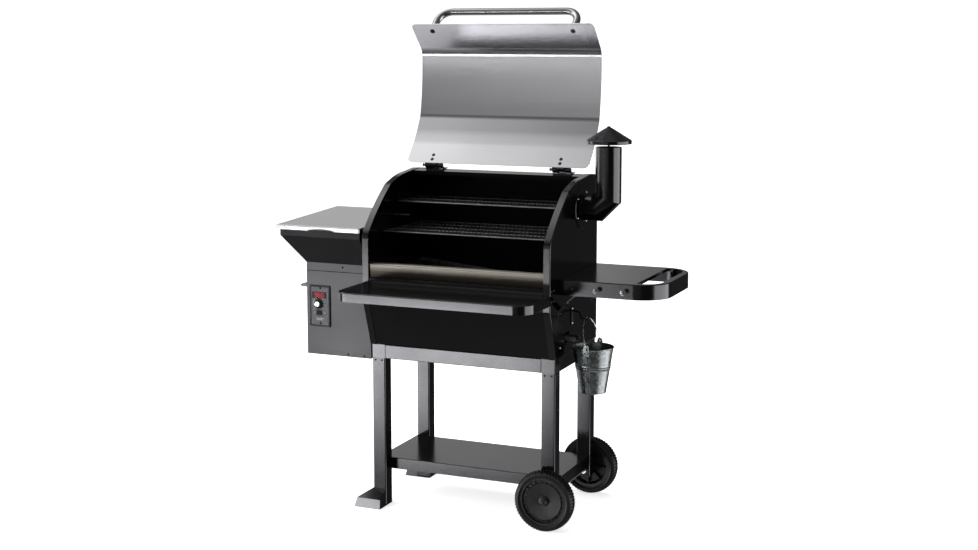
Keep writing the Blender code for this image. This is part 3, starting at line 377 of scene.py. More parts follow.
def fillet(corners, steps=8, closed=True):
    """Corners given as (a, b, radius) become arcs tangent to both sides."""
    made = []
    last = len(corners) - 1
    for i, (a, b, radius) in enumerate(corners):
        here = Vector((a, b))
        if radius == 0 or (not closed and i in (0, last)):
            made.append((a, b))
            continue
        before = (Vector(corners[i - 1][:2]) - here).normalized()
        after = (Vector(corners[(i + 1) % len(corners)][:2]) - here).normalized()
        half = before.angle(after) / 2
        centre = here + (before + after).normalized() * (radius / math.sin(half))
        start = here + before * (radius / math.tan(half)) - centre
        turn = start.angle_signed(here + after * (radius / math.tan(half)) - centre)
        made += [tuple(centre + turned_by(start, -turn * step / steps)) for step in range(steps + 1)]
    return made


def offset(points, distance, closed=True):
    """The outline moved sideways, to the right of its direction of travel."""
    made = []
    for i, point in enumerate(points):
        here = Vector(point)
        if closed or 0 < i < len(points) - 1:
            before = (here - Vector(points[i - 1])).normalized()
            after = (Vector(points[(i + 1) % len(points)]) - here).normalized()
        else:
            near = (0, 1) if i == 0 else (i - 1, i)
            before = after = (Vector(points[near[1]]) - Vector(points[near[0]])).normalized()
        sideways = Vector((before.y + after.y, -before.x - after.x)).normalized()
        made.append(tuple(here + sideways * distance / sideways.dot(Vector((before.y, -before.x)))))
    return made


def inset(points, distance):
    area = sum(a[0] * b[1] - b[0] * a[1] for a, b in zip(points, points[1:] + points[:1]))
    return offset(points, distance if area < 0 else -distance)


def folded_pan(axis, outline, closed_at, open_at, wall=SHEET, bend=BEND, steps=4):
    """A folded tray whose closed corner is bent to a radius, inside and out."""
    way = math.copysign(1.0, open_at - closed_at)
    outer = [(0.0, open_at)]
    inner = [(wall, open_at)]
    tight = bend - wall
    for step in range(steps + 1):
        turn = math.pi / 2 * step / steps
        away, rise = 1 - math.cos(turn), 1 - math.sin(turn)
        outer.append((bend * away, closed_at + way * bend * rise))
        inner.append((wall + tight * away, closed_at + way * (wall + tight * rise)))
    stations = inner[::-1] + outer
    return skin([[at(axis, a, b, along) for a, b in inset(outline, away)] for away, along in stations])


def prism(axis, outline, span):
    return skin([[at(axis, a, b, along) for a, b in outline] for along in span])


def box(x, y, z):
    return prism("Z", rectangle(x, y), z)


def circle(centre, radius, sides, start=0.0):
    turns = [start + 2 * math.pi * i / sides for i in range(sides)]
    return [(centre[0] + radius * math.cos(t), centre[1] + radius * math.sin(t)) for t in turns]


def turned(axis, centre, profile, sides=48, ring=False):
    """A profile of (radius, place along the axis) turned about the axis."""
    return skin([[at(axis, a, b, along) for a, b in circle(centre, r, sides)] for r, along in profile], ring)


def swept(ring, path, closed=False):
    """Carries a ring of points along a path, through the mitre planes of its corners."""
    ends = path[1:] + path[:1] if closed else path[1:]
    ways = [(b - a).normalized() for a, b in zip(path, ends)]
    rings = [ring]
    for i, (way, end) in enumerate(zip(ways, ends)):
        following = ways[(i + 1) % len(ways)] if closed else ways[min(i + 1, len(ways) - 1)]
        normal = (way + following).normalized()
        ring = [p + way * ((end - p).dot(normal) / way.dot(normal)) for p in ring]
        rings.append(ring)
    return rings[1:] if closed else rings


def tube(path, radius, sides=12, closed=False):
    """A round wire or tube along a path."""
    path = [Vector(p) for p in path]
    way = (path[1] - path[0]).normalized()
    side = way.orthogonal().normalized()
    up = way.cross(side)
    ring = [path[0] + side * a + up * b for a, b in circle((0.0, 0.0), radius, sides)]
    return skin(swept(ring, path, closed), ring=closed)


def spokes(x, y, z, turns, centre):
    """Copies of a box turned about Y, round a centre."""
    made = []
    for turn in turns:
        spoke = box(x, y, z)
        spoke.transform(Matrix.Translation(centre) @ Matrix.Rotation(turn, 4, "Y"))
        made.append(spoke)
    return made


def stood(parts, place, direction):
    """Parts made round +Z, joined and stood at a place, facing a direction."""
    made = joined(parts)
    made.transform(Matrix.Translation(place) @ Vector(direction).to_track_quat("Z", "Y").to_matrix().to_4x4())
    return made


def screw(place, direction, radius, height):
    """A domed head with a cross on it."""
    turns = [math.pi / 2 * step / 6 for step in range(6)]
    parts = [turned("Z", (0, 0), [(radius * math.cos(t), height * math.sin(t)) for t in turns], 20)]
    wide, thin = about(0.0, radius * 0.55), about(0.0, radius * 0.11)
    for x, y in ((wide, thin), (thin, wide)):
        parts.append(box(x, y, (0.0, height * 1.02)))
    return stood(parts, place, direction)


def screws(name, look, places, radius, height, body="root"):
    """One piece of equal screws, given as places and the ways they face."""
    piece(name, joined([screw(place, way, radius, height) for place, way in places]), look, body)


def hex_bolt(place, direction, radius, height):
    """A hexagonal head on its washer, with the end of its shank."""
    base = 0.0009
    washer = [(radius * 1.45, 0.0), (radius * 1.45, base * 0.6), (radius * 1.3, base)]
    head = [(radius, base), (radius, base + height * 0.8), (radius * 0.86, base + height)]
    shank = [(radius * 0.5, base), (radius * 0.5, base + height * 1.15), (radius * 0.4, base + height * 1.3)]
    parts = [turned("Z", (0, 0), profile, sides) for profile, sides in ((washer, 24), (head, 6), (shank, 12))]
    return stood(parts, place, direction)


def cut(obj, mesh):
    """Cuts a hole and keeps the result as the object's mesh."""
    mesh.transform(Matrix.Translation(CART))
    tool = bpy.data.objects.new("tool", mesh)
    bpy.context.scene.collection.objects.link(tool)
    modifier = obj.modifiers.new("hole", "BOOLEAN")
    modifier.operation = "DIFFERENCE"
    modifier.solver = "EXACT"
    modifier.object = tool
    bpy.context.view_layer.update()
    graph = bpy.context.evaluated_depsgraph_get()
    made = bpy.data.meshes.new_from_object(obj.evaluated_get(graph))
    obj.modifiers.remove(modifier)
    obj.data = made
    made.set_sharp_from_angle(angle=math.radians(30))
    bpy.data.objects.remove(tool)
    bpy.data.meshes.remove(mesh)


# --- cart ---


def cart():
    half, depth, leg = CART_HALF, CART_DEPTH, LEG
    rail = (0.517, 0.564)
    for front, y in (("front", (0.0, leg)), ("rear", (depth - leg, depth))):
        for side, x, bottom in (("left", (-half, leg - half), 0.0043), ("right", (half - leg, half), 0.078)):
            mesh = folded_pan("Z", rounded(x, y, 0.004, 4), bottom, rail[0] - GAP, 0.002, 0.0025)
            piece(f"{front}_{side}_leg_tube", mesh, "leg_coat", stands_for=[f"{front}_{side}_leg"])
    inner = half - leg - GAP
    sides, ends = rectangle((0.0, depth), rail), rectangle((-inner, inner), rail)
    tray = rectangle((-half, half), (leg + GAP, depth - leg - GAP))
    for name, node, axis, outline, closed_at, open_at in (
        ("left_rail_channel", "left_side_rail", "X", sides, -half, leg - half),
        ("right_rail_channel", "right_side_rail", "X", sides, half, half - leg),
        ("front_rail_channel", "front_rail", "Y", ends, 0.0, leg),
        ("rear_rail_channel", "rear_rail", "Y", ends, depth, depth - leg),
        ("lower_shelf_tray", "lower_shelf", "Z", tray, 0.159, 0.12),
    ):
        piece(name, folded_pan(axis, outline, closed_at, open_at), "satin_coat", stands_for=[node])
    z = 0.5095
    places = []
    for x in (-half + 0.012, -half + 0.036, half - 0.036, half - 0.012):
        places += [((x, -0.0001, z), FRONT), ((x, depth, z), BACK)]
    for y in (0.024, depth - 0.024):
        places += [((-half, y, z), LEFT), ((half, y, z), RIGHT)]
    screws("leg_bolts", "dark_bolt", places, 0.0036, 0.0022)


def feet():
    """Wedge feet of the two left legs."""
    outer, leg = -CART_HALF, LEG
    for name, face, way in (("front", 0.0, -1), ("rear", CART_DEPTH, 1)):
        back = face - way * leg
        loops = []
        for z, flare, reach in ((0.0, 0.051, 0.048), (0.034, 0.04, 0.046), (0.058, 0.002, 0.002)):
            front, toe = face + way * reach, outer - flare
            loops.append([(outer + leg, back, z), (outer + leg, front, z), (toe, front, z), (toe, back, z)])
        foot = piece(f"{name}_foot_wedge", skin(loops), "black_coat", stands_for=[f"{name}_left_foot"])
        y = sorted((face + way * GAP, back - way * 0.002))
        cut(foot, box((outer - GAP, outer + leg + 0.002), y, (0.004, 0.1)))
        bevel_edges(foot, 0.0012, 30)


def wheels():
    radius, width, rim = 0.101, 0.046, 0.0785
    x, z = 0.3085, radius
    cap_face = width - 0.0075
    for name, face, way in (("front", 0.0, -1), ("rear", CART_DEPTH, 1)):
        near = face + way * 0.003
        body = f"{name}_wheel"

        def along(depth):
            return near + way * depth

        bore = 0.0061
        dish = [
            (bore, 0.04), (bore, 0.0), (0.016, 0.0), (0.018, 0.016), (0.06, 0.018), (0.066, 0.004),
            (rim - 0.0006, 0.004), (rim - 0.0003, 0.005), (rim - 0.0003, width - 0.005),
            (rim - 0.001, width - 0.0042), (0.0735, width - 0.0042), (0.0722, width - 0.005),
            (0.0702, width - 0.013), (0.069, width - 0.0142), (0.0645, width - 0.0142),
            (0.0632, width - 0.0135), (0.0622, cap_face - 0.004), (0.0605, cap_face - 0.003),
            (0.04, cap_face - 0.0044), (0.018, cap_face - 0.0062), (0.0158, cap_face - 0.005),
            (0.0142, cap_face + 0.002), (0.0125, cap_face + 0.0036), (0.0085, cap_face + 0.004),
        ]
        parts = [turned("Y", (x, z), [(r, along(d)) for r, d in dish], 72)]
        sunk = -0.0142 if way > 0 else 0.0097
        turns = [2 * math.pi * (i + 0.3) / 24 for i in range(24)]
        parts += spokes((-0.0016, 0.0016), (sunk, sunk + 0.0045), (0.0618, 0.07), turns, (x, along(width), z))
        turns = [2 * math.pi * i / 8 for i in range(8)]
        parts += spokes((-0.0014, 0.0014), (-0.0075, 0.0075), (0.017, 0.0605), turns, (x, along(0.01), z))
        piece(f"{name}_wheel_hub", joined(parts), "black_plastic", body, [f"{name}_wheel"])
        cap = [(0.0165, along(cap_face - 0.004)), (0.0165, along(cap_face + 0.001))]
        for step in range(10):
            turn = math.pi / 2 * step / 10
            rise = cap_face + 0.001 + (width + 0.0055 - cap_face - 0.001) * math.sin(turn)
            cap.append((0.0005 + 0.0152 * math.cos(turn), along(rise)))
        piece(f"{name}_hub_cap", turned("Y", (x, z), cap, 40), "cap_plastic", body)
        tyre(name, body, (x, z), along, radius, width, rim)
    start, end = -0.0425, CART_DEPTH + 0.0425
    rod = turned("Y", (x, z), [(0.0052, start), (0.006, start + 0.0008), (0.006, end - 0.0008), (0.0052, end)], 24)
    piece("axle_rod", rod, "raw_steel", stands_for=["wheel_axle"])
    washers = []
    for y in (-0.0014, 0.3964, 0.0494, 0.3456):
        near, far = about(y, 0.0009)
        washers.append(turned("Y", (x, z), [(0.0063, near), (0.0125, near), (0.0125, far), (0.0063, far)], 28, True))
    piece("axle_washers", joined(washers), "zinc_steel")


def tyre(name, body, centre, along, radius, width, rim):
    """A solid tyre: smooth side walls, and a crown of staggered blocks in three rows."""
    profile = [
        (rim, 0.003), (rim, width - 0.003), (rim + 0.002, width - 0.0012), (rim + 0.0075, width),
        (rim + 0.01, width - 0.0008), (rim + 0.0115, width - 0.0012), (rim + 0.0165, width - 0.002),
        (radius - 0.0078, width - 0.0036), (radius - 0.0056, width - 0.009), (radius - 0.0048, width * 0.5),
        (radius - 0.0056, 0.009), (radius - 0.0078, 0.0036), (rim + 0.0165, 0.002), (rim + 0.01, 0.0008),
        (rim + 0.0075, 0.0), (rim + 0.002, 0.0012),
    ]
    parts = [turned("Y", centre, [(r, along(d)) for r, d in profile], 96, True)]
    count = 60
    wide = 0.6 * math.pi / count
    inner = radius - 0.008
    for (start, drop_a), (end, drop_b), shift in (
        ((0.0022, 0.0034), (0.015, 0.0006), 0.0),
        ((0.0172, 0.0), (0.0288, 0.0), 0.5),
        ((0.031, 0.0006), (0.0438, 0.0034), 0.0),
    ):
        for i in range(count):
            turn = 2 * math.pi * (i + shift) / count
            loops = []
            for depth, drop in ((start, drop_a), (end, drop_b)):
                outer = radius - drop
                ring = [(inner, -wide * 1.06), (outer, -wide * 0.86), (outer, wide * 0.86), (inner, wide * 1.06)]
                ring = [at("Y", r * math.sin(turn + a), r * math.cos(turn + a), along(depth)) for r, a in ring]
                loops.append([(centre[0] + a, y, centre[1] + b) for a, y, b in ring])
            parts.append(skin(loops))
    piece(f"{name}_tyre_tread", joined(parts), "tyre_rubber", body, [f"{name}_tyre"])


# --- chamber ---


# the auger's tube and the fan's duct, through the chamber's wall and the hopper's
HOPPER_OPENINGS = (circle((0.17, 0.66), 0.0283, 32), rectangle((0.243, 0.282), (0.578, 0.602)))


def end_walls():
    outline = fillet(PANEL_CORNERS, 12)
    chimney_openings = (circle((0.239, 1.037), 0.0405, 32), rectangle((0.072, 0.118), (0.606, 0.64)))
    for side, way, openings in (("left", -1, HOPPER_OPENINGS), ("right", 1, chimney_openings)):
        outer = way * CHAMBER_HALF
        mesh = folded_pan("X", outline, outer, outer - way * FLANGE, bend=0.003)
        wall = piece(f"{side}_end_wall", mesh, "black_coat", stands_for=[f"{side}_end_panel"])
        for opening in openings:
            cut(wall, prism("X", opening, (outer - way * 0.012, outer + way * 0.012)))
    middle = CART + Vector((0.0, 0.17, 0.85))
    for name, look in (("barrel_front_sheet", "dull_coat"), ("barrel_rear_sheet", "black_coat")):
        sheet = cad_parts[name]
        sheet.data.materials.clear()
        for part in (look, "soot_coat"):
            sheet.data.materials.append(MATERIALS[part])
        turn = sheet.matrix_world.to_3x3()
        for face in sheet.data.polygons:
            inwards = (middle - sheet.matrix_world @ face.center).dot(turn @ face.normal) > 0
            face.material_index = int(inwards)


def grate(name, node, x_span, y_span, top, cross, pitch):
    """Round bars laid front to back over cross rods, with a rod round the edge."""
    wire, bar = 0.0023, 0.002
    low = top - 0.0045 + wire * 0.9
    parts = []
    a, b = x_span[0] + wire, x_span[1] - wire
    c, d = y_span[0] + wire, y_span[1] - wire
    frame_path = [(x, y, low) for x, y in fillet([(a, c, 0.006), (b, c, 0.006), (b, d, 0.006), (a, d, 0.006)], 4)]
    parts.append(tube(frame_path, wire, 8, closed=True))
    for y in cross:
        parts.append(tube([(a, y, low), (b, y, low)], wire * 0.9, 8))
    count = round((b - a) / pitch)
    for i in range(1, count):
        x = a + (b - a) * i / count
        parts.append(tube([(x, c - 0.001, top - bar), (x, d + 0.001, top - bar)], bar, 8))
    piece(name, joined(parts), "wire", stands_for=[node])


def racks():
    half = CHAMBER_HALF - 0.006
    grate("main_grate_bars", "cooking_grate", (-half, half), (0.073, 0.385), 0.945, (0.15, 0.229, 0.308), 0.0145)
    grate("upper_grate_bars", "upper_rack", (-half, half), (0.186, 0.378), 1.037, (0.282,), 0.0145)
    ledges = []
    for way in (-1, 1):
        wall = way * (CHAMBER_HALF - SHEET - GAP)
        inner = wall - way * 0.01
        for z, y in ((0.945, (0.07, 0.388)), (1.037, (0.184, 0.38))):
            span = sorted((wall, inner))
            top = z - 0.005
            ledges.append(box(span, y, (top - 0.0015, top)))
            ledges.append(box(sorted((wall, wall - way * 0.0015)), y, (top - 0.014, top)))
        ledges.append(box(sorted((wall, wall - way * 0.012)), (0.176, 0.184), (0.954, 1.0855)))
    piece("rack_ledges", joined(ledges), "soot_coat")


def fascia():
    path = fillet([(-0.053, 0.803, 0.0), (-0.053, 0.85, 0.006), (-0.031, 0.852, 0.0)], 10, closed=False)
    outline = path + offset(path, SHEET, closed=False)[::-1]
    inside = CHAMBER_HALF - SHEET - GAP
    mesh = prism("X", outline, (-inside, inside))
    piece("fascia_strip", mesh, "fascia_steel", stands_for=["front_fascia"], bevel=0.0003)


# --- main lid ---


def opened(y, z):
    turn = turned_by((y - PIVOT[0], z - PIVOT[1]), -LID_OPENING)
    return (PIVOT[0] + turn.x, PIVOT[1] + turn.y)


def lid_path(steps=12):
    bends = PANEL_CORNERS[5:1:-1]
    hinge_z = bends[0][1] + (LID_HINGE_Y - bends[0][0]) * math.tan(ROOF_SLOPE)
    corners = [(LID_HINGE_Y, hinge_z), *[bend[:2] for bend in bends], (bends[-1][0], LID_LOWER_EDGE)]
    away = offset(corners, LID_STANDOFF, closed=False)
    radii = [0.0, *[bend[2] + LID_STANDOFF for bend in bends], 0.0]
    return fillet([(y, z, r) for (y, z), r in zip(away, radii)], steps, closed=False)


def lid_shell():
    """One stainless sheet in three facets, with rounded corners and softly rounded side edges."""
    path = lid_path()
    shares = (0.02, 0.06, 0.13, 0.24, 0.38, 0.56, 0.78, 1.0)
    first, second, before, last = (Vector(path[i]) for i in (0, 1, -2, -1))
    head = [tuple(first + (second - first).normalized() * LID_CORNER * s) for s in shares]
    tail = [tuple(last + (before - last).normalized() * LID_CORNER * s) for s in reversed(shares)]
    middle = path[1:-1]
    stations = [path[0], *head, *middle, *tail, path[-1]]
    lengths = [0.0]
    for a, b in zip(stations, stations[1:]):
        lengths.append(lengths[-1] + (Vector(b) - Vector(a)).length)
    away = offset(stations, SHEET, closed=False)
    loops = []
    soft = 0.0004
    for near, far, length in zip(stations, away, lengths):
        gap = min(length, lengths[-1] - length, LID_CORNER)
        half = LID_HALF - LID_CORNER + math.sqrt(max(LID_CORNER**2 - (LID_CORNER - gap) ** 2, 0.0))
        flat = half - soft
        near, far = opened(*near), opened(*far)
        mid = ((near[0] + far[0]) / 2, (near[1] + far[1]) / 2)
        loops.append([
            (-flat, *near), (flat, *near), (half, *mid), (flat, *far), (-flat, *far), (-half, *mid),
        ])
    shell = piece("lid_shell", skin(loops), "lid_steel", "lid", ["main_lid"], smooth=24.0)
    shell.data.materials.append(MATERIALS["lid_outside"])
    outermost = 3  # of the faces between two loops, the one on the outside
    for face in shell.data.polygons:
        face.material_index = int(face.index % len(loops[0]) == outermost and len(face.vertices) == 4)


def lid_frame(along, above):
    """A place on the closed lid's front facet as an open-pose point: height and distance out from its outer face."""
    return opened(PANEL_CORNERS[2][0] - LID_STANDOFF - SHEET - above, along)


def lid_grip():
    height = LID_LOWER_EDGE + 0.035
    reach, bend, foot = 0.097, 0.05, GAP
    left, right = -0.2665, 0.2585
    corners = [(left, foot, 0.0), (left, reach, bend), (right, reach, bend), (right, foot, 0.0)]
    path = [(x, *lid_frame(height, out)) for x, out in fillet(corners, 14, closed=False)]
    piece("lid_grip_tube", tube(path, 0.0123, 32), "polished_steel", "lid", ["lid_handle"])
    inwards = Vector((0.0, *turned_by((1.0, 0.0), -LID_OPENING)))
    collar = [(0.0148, 0.0), (0.0152, 0.0012), (0.0146, 0.003), (0.0126, 0.0034)]
    bolts, collars = [], []
    for x in (left, right):
        inner = Vector((x, *opened(PANEL_CORNERS[2][0] - LID_STANDOFF, height)))
        bolts.append(hex_bolt(inner, inwards, 0.0062, 0.0042))
        outer = Vector((x, *lid_frame(height, 0.0)))
        collars.append(stood([turned("Z", (0, 0), collar, 40)], outer, -inwards))
    piece("lid_grip_bolts", joined(bolts), "dark_bolt", "lid")
    piece("lid_grip_collars", joined(collars), "polished_steel", "lid")


def hinge_place(along, above, is_open=False):
    turn = ROOF_SLOPE - (LID_OPENING if is_open else 0.0)
    way = turned_by((along, above), turn)
    return (PIVOT[0] + way.x, PIVOT[1] + way.y)


def hinges():
    """Low bolt heads that clear the roof when the lid shuts, screws on the roof, and the pins' heads."""
    lid_bolts, roof_screws, pins = [], [], []
    inward = Vector((0.0, *turned_by((0.0, -1.0), ROOF_SLOPE - LID_OPENING)))
    upward = Vector((0.0, *turned_by((0.0, 1.0), ROOF_SLOPE)))
    under = -0.0125 - SHEET
    for x, x_bolt in ((-0.239, -0.245), (0.239, 0.2335)):
        for along in (-0.0155, -0.034):
            lid_bolts.append((Vector((x_bolt, *hinge_place(along, under, True))), inward))
        roof = hinge_place(0.031, under - LID_STANDOFF - SHEET + 0.003)
        roof_screws += [(Vector((x + dx, *roof)), upward) for dx in (-0.024, 0.024)]
        left, right = x - 0.039, x + 0.033
        for profile in (
            ((0.004, left - 0.0001), (0.0056, left - 0.0004), (0.0056, left - 0.0022), (0.004, left - 0.003)),
            ((0.0042, right + 0.0003), (0.0058, right + 0.0005), (0.0058, right + 0.0018), (0.003, right + 0.0026)),
        ):
            pins.append(turned("X", PIVOT, profile, 20))
    screws("hinge_lid_bolts", "dark_bolt", lid_bolts, 0.0064, 0.0015, "lid")
    screws("hinge_roof_screws", "dark_bolt", roof_screws, 0.0038, 0.0026)
    piece("hinge_pin_heads", joined(pins), "dark_bolt")


# --- shelves ---


def front_table():
    back = PANEL_CORNERS[2][0] - GAP
    half, front, corner, top = 0.341, -0.258, 0.055, 0.783
    corners = [(-half, back, 0.0), (-half, front, corner), (half, front, corner), (half, back, 0.0)]
    mesh = folded_pan("Z", fillet(corners, 14), top, top - 0.03, bend=0.0035, steps=6)
    piece("front_table_top", mesh, "black_coat", stands_for=["front_shelf"])
    near, far, low, high = back + GAP, back - 0.0032, top + 0.0002, 0.7915
    lip = [(near, low), (near, high), (back - 0.0015, high + 0.001), (far, high), (far, low)]
    inside = CHAMBER_HALF - FLANGE
    piece("front_table_lip", prism("X", lip, (-inside + 0.016, inside - 0.001)), "satin_coat", bevel=0.0004)
    places = [((CHAMBER_HALF, y, z), RIGHT) for y in (-0.049, -0.027) for z in (0.797, 0.763)]
    screws("front_table_screws", "dark_bolt", places, 0.004, 0.0026)


def side_table():
    start, end, front, rear, top = CHAMBER_HALF + GAP, 0.688, 0.0045, 0.388, 0.828
    corners = [(start, front, 0.0), (end, front, 0.1), (end, rear, 0.1), (start, rear, 0.0)]
    mesh = folded_pan("Z", fillet(corners, 24), top, top - 0.05, bend=0.0032, steps=5)
    table = piece("side_table_top", mesh, "black_coat", stands_for=["side_shelf"])
    rim, slot_x = 0.022, 0.595
    x, near, far = end - rim, front + rim, rear - rim
    hole = fillet([(slot_x, near, 0.006), (x, near, 0.058), (x, far, 0.058), (slot_x, far, 0.006)], 14)
    cut(table, prism("Z", hole, about(top, 0.01)))
    hem = ((-0.0001, -0.0002), (0.0004, 0.0), (0.0014, -0.0004), (0.0016, -0.01), (0.0001, -0.01))
    loops = [[(a, b, top + rise) for a, b in inset(hole, away)] for away, rise in hem]
    piece("side_table_hem", skin(loops, ring=True), "black_coat")
    places = [((0.384, front, 0.803), FRONT), ((0.384, rear, 0.803), BACK)]
    screws("side_table_screws", "dark_bolt", places, 0.0062, 0.003)
    peg = [
        (0.0064, 0.0), (0.0064, 0.002), (0.0038, 0.003), (0.0038, 0.016), (0.007, 0.018), (0.0082, 0.021),
        (0.0078, 0.0245), (0.005, 0.0268), (0.0015, 0.0274),
    ]
    pegs = [stood([turned("Z", (0, 0), peg, 28)], (x, front, 0.8015), FRONT) for x in (0.4715, 0.562)]
    piece("tool_pegs", joined(pegs), "zinc_steel")


# --- hopper ---


def hopper():
    left, right, rear = -0.585, -CHAMBER_HALF - GAP, 0.34
    mesh = folded_pan("Z", rectangle((left, right), (0.0, rear)), 0.51, 0.8027, bend=0.0024)
    casing = piece("hopper_body", mesh, "matt_coat", stands_for=["hopper_casing"])
    for opening in HOPPER_OPENINGS:
        cut(casing, prism("X", opening, about(right, 0.012)))
    # a thin near-black strip round the casing's top edge: painted shade standing for the shadow gap between the
    # casing and the bin
    proud, z = left - GAP, (0.8017, 0.804)
    seam = [
        box((proud, right), (-GAP, 0.0), z), box((proud, left), (0.0, rear), z),
        box((proud, right), (rear, rear + GAP), z),
    ]
    piece("hopper_shadow_strip", joined(seam), "soot_coat")
    slots = []
    for low in (0.56 + row * 0.012 for row in range(7)):
        slots.append(prism("Y", rounded((-0.52, -0.42), (low, low + 0.005), 0.0024, 4), about(rear, 0.01)))
    cut(casing, joined(slots))
    places = [((x, -0.0001, z), FRONT) for x, z in ((-0.426, 0.5185), (-0.363, 0.5175), (-0.444, 0.8195))]
    places += [((x, rear, z), BACK) for z in (0.52, 0.79) for x in (-0.56, -0.362)]
    places += [((left, y, z), LEFT) for z in (0.52, 0.79) for y in (0.03, 0.31)]
    screws("hopper_screws", "soot_coat", places, 0.0036, 0.0022)
    inlet = [box((-0.4, -0.36), (rear, rear + 0.0016), (0.69, 0.745))]
    inlet.append(box((-0.392, -0.368), (rear + 0.0012, rear + 0.003), (0.706, 0.728)))
    piece("power_inlet", joined(inlet), "black_plastic", bevel=0.0006)
    pins = [box(about(x, 0.0012), (rear + 0.003, rear + 0.0036), (0.712, 0.721)) for x in (-0.387, -0.38, -0.373)]
    piece("power_inlet_pins", joined(pins), "zinc_steel")


def hopper_top():
    x, y = (-0.665, -0.343), (-0.0665, 0.366)
    low, high = 0.9655, 0.984
    mesh = folded_pan("Z", rounded(x, y, 0.004, 4), 0.0, -0.0155, SHEET, 0.0028, 5)
    for vertex in mesh.vertices:
        vertex.co.z += low + (vertex.co.y - y[0]) / (y[1] - y[0]) * (high - low)
    lid = piece("hopper_lid_sheet", mesh, "brushed_steel", "hopper_lid", ["hopper_lid"])
    centre, wide = -0.49, 0.052
    scallop = []
    for share in (-1 + i / 8 for i in range(17)):
        scallop.append((centre + wide * share, low - 0.0165 + 0.0075 * math.sqrt(1 - share * share)))
    scallop += [(centre + wide, low - 0.03), (centre - wide, low - 0.03)]
    cut(lid, prism("Y", scallop, about(y[0], 0.004)))
    pull = []
    for share in (-1 + i / 12 for i in range(25)):
        arch = math.sqrt(1 - share * share)
        along, z = centre + wide * share, low - 0.0158 + 0.0072 * arch
        back, lip, drop = y[0] + 0.0014, y[0] + 0.0012 - 0.0062 * arch, 0.001 * arch
        profile = ((back, z + 0.0006), (lip, z + 0.0004 - drop), (lip, z - 0.0006 - drop), (back, z - 0.0006))
        pull.append([(along, *point) for point in profile])
    piece("hopper_finger_pull", skin(pull), "polished_steel", "hopper_lid", bevel=0.0002)
    leaf = [(0.3665, 0.9705), (0.3735, 0.9765), (0.3722, 0.9782), (0.3655, 0.9722)]
    knuckles = []
    for start, end in ((-0.596, -0.56), (-0.52, -0.49), (-0.45, -0.414)):
        barrel = [(0.0036, start), (0.005, start), (0.005, end), (0.0036, end)]
        knuckles += [turned("X", (0.3735, 0.973), barrel, 24, True), prism("X", leaf, (start, end))]
    piece("hopper_lid_knuckles", joined(knuckles), "black_coat", "hopper_lid")


def hopper_guard():
    """Wires over the bin's throat that keep fingers out; the bin itself keeps its CAD shape."""
    z, wire = 0.86, 0.0016
    bars = [tube([(x, 0.004, z), (x, 0.334, z)], wire, 8) for x in (-0.57 + i * 0.034 for i in range(7))]
    bars += [tube([(-0.596, y, z - 0.003), (-0.35, y, z - 0.003)], wire, 8) for y in (0.085, 0.255)]
    piece("hopper_guard", joined(bars), "zinc_steel")


PANEL_FACE = -0.004
KNOB = (-0.5367, 0.6887)
SWITCH = (-0.5347, 0.6575)


def bezel():
    face, x, z, border = PANEL_FACE, (-0.572, -0.493), (0.609, 0.752), 0.0055
    rim = rounded(x, z, 0.003, 5)
    inner = rounded((x[0] + border, x[1] - border), (z[0] + border, z[1] - border), 0.002, 5)
    outlines = (
        (rim, -GAP), (rim, face - 0.0008), (inset(rim, 0.0006), face - 0.0014),
        (inset(inner, -0.0004), face - 0.0014), (inner, face - 0.0008), (inner, -GAP),
    )
    loops = [[(a, along, b) for a, b in loop] for loop, along in outlines]
    piece("panel_bezel", skin(loops, ring=True), "black_ink")


def knob():
    face, base = PANEL_FACE, PANEL_FACE - 0.0003
    middle = (KNOB[0], 0, KNOB[1])
    ring = [(0.0172, face), (0.0205, face), (0.0203, face - 0.0008), (0.0188, face - 0.0014), (0.0174, face - 0.0008)]
    piece("knob_ring", turned("Y", KNOB, ring, 48, True), "zinc_steel")
    profile = [
        (0.016, base), (0.0165, base - 0.0006), (0.0165, base - 0.0026), (0.0158, base - 0.0034),
        (0.0132, base - 0.0042), (0.0124, base - 0.0052), (0.0116, base - 0.0106), (0.0108, base - 0.0118),
        (0.009, base - 0.0124),
    ]
    parts = [turned("Y", KNOB, profile, 48)]
    turns = [2 * math.pi * i / 20 for i in range(20)]
    parts += spokes((-0.0006, 0.0006), (base - 0.0104, base - 0.0046), (0.011, 0.0127), turns, middle)
    piece("knob_body", joined(parts), "black_plastic", "knob", ["control_knob"])
    cap = [(0.0086, base - 0.0122), (0.0086, base - 0.0126), (0.0078, base - 0.0129)]
    piece("knob_cap", turned("Y", KNOB, cap, 40), "zinc_steel", "knob")
    raised, turns = (base - 0.0133, base - 0.0122), [math.radians(-135)]
    pointer = spokes((-0.0009, 0.0009), raised, (0.002, 0.0095), turns, middle)[0]
    piece("knob_pointer", pointer, "pale_ink", "knob")


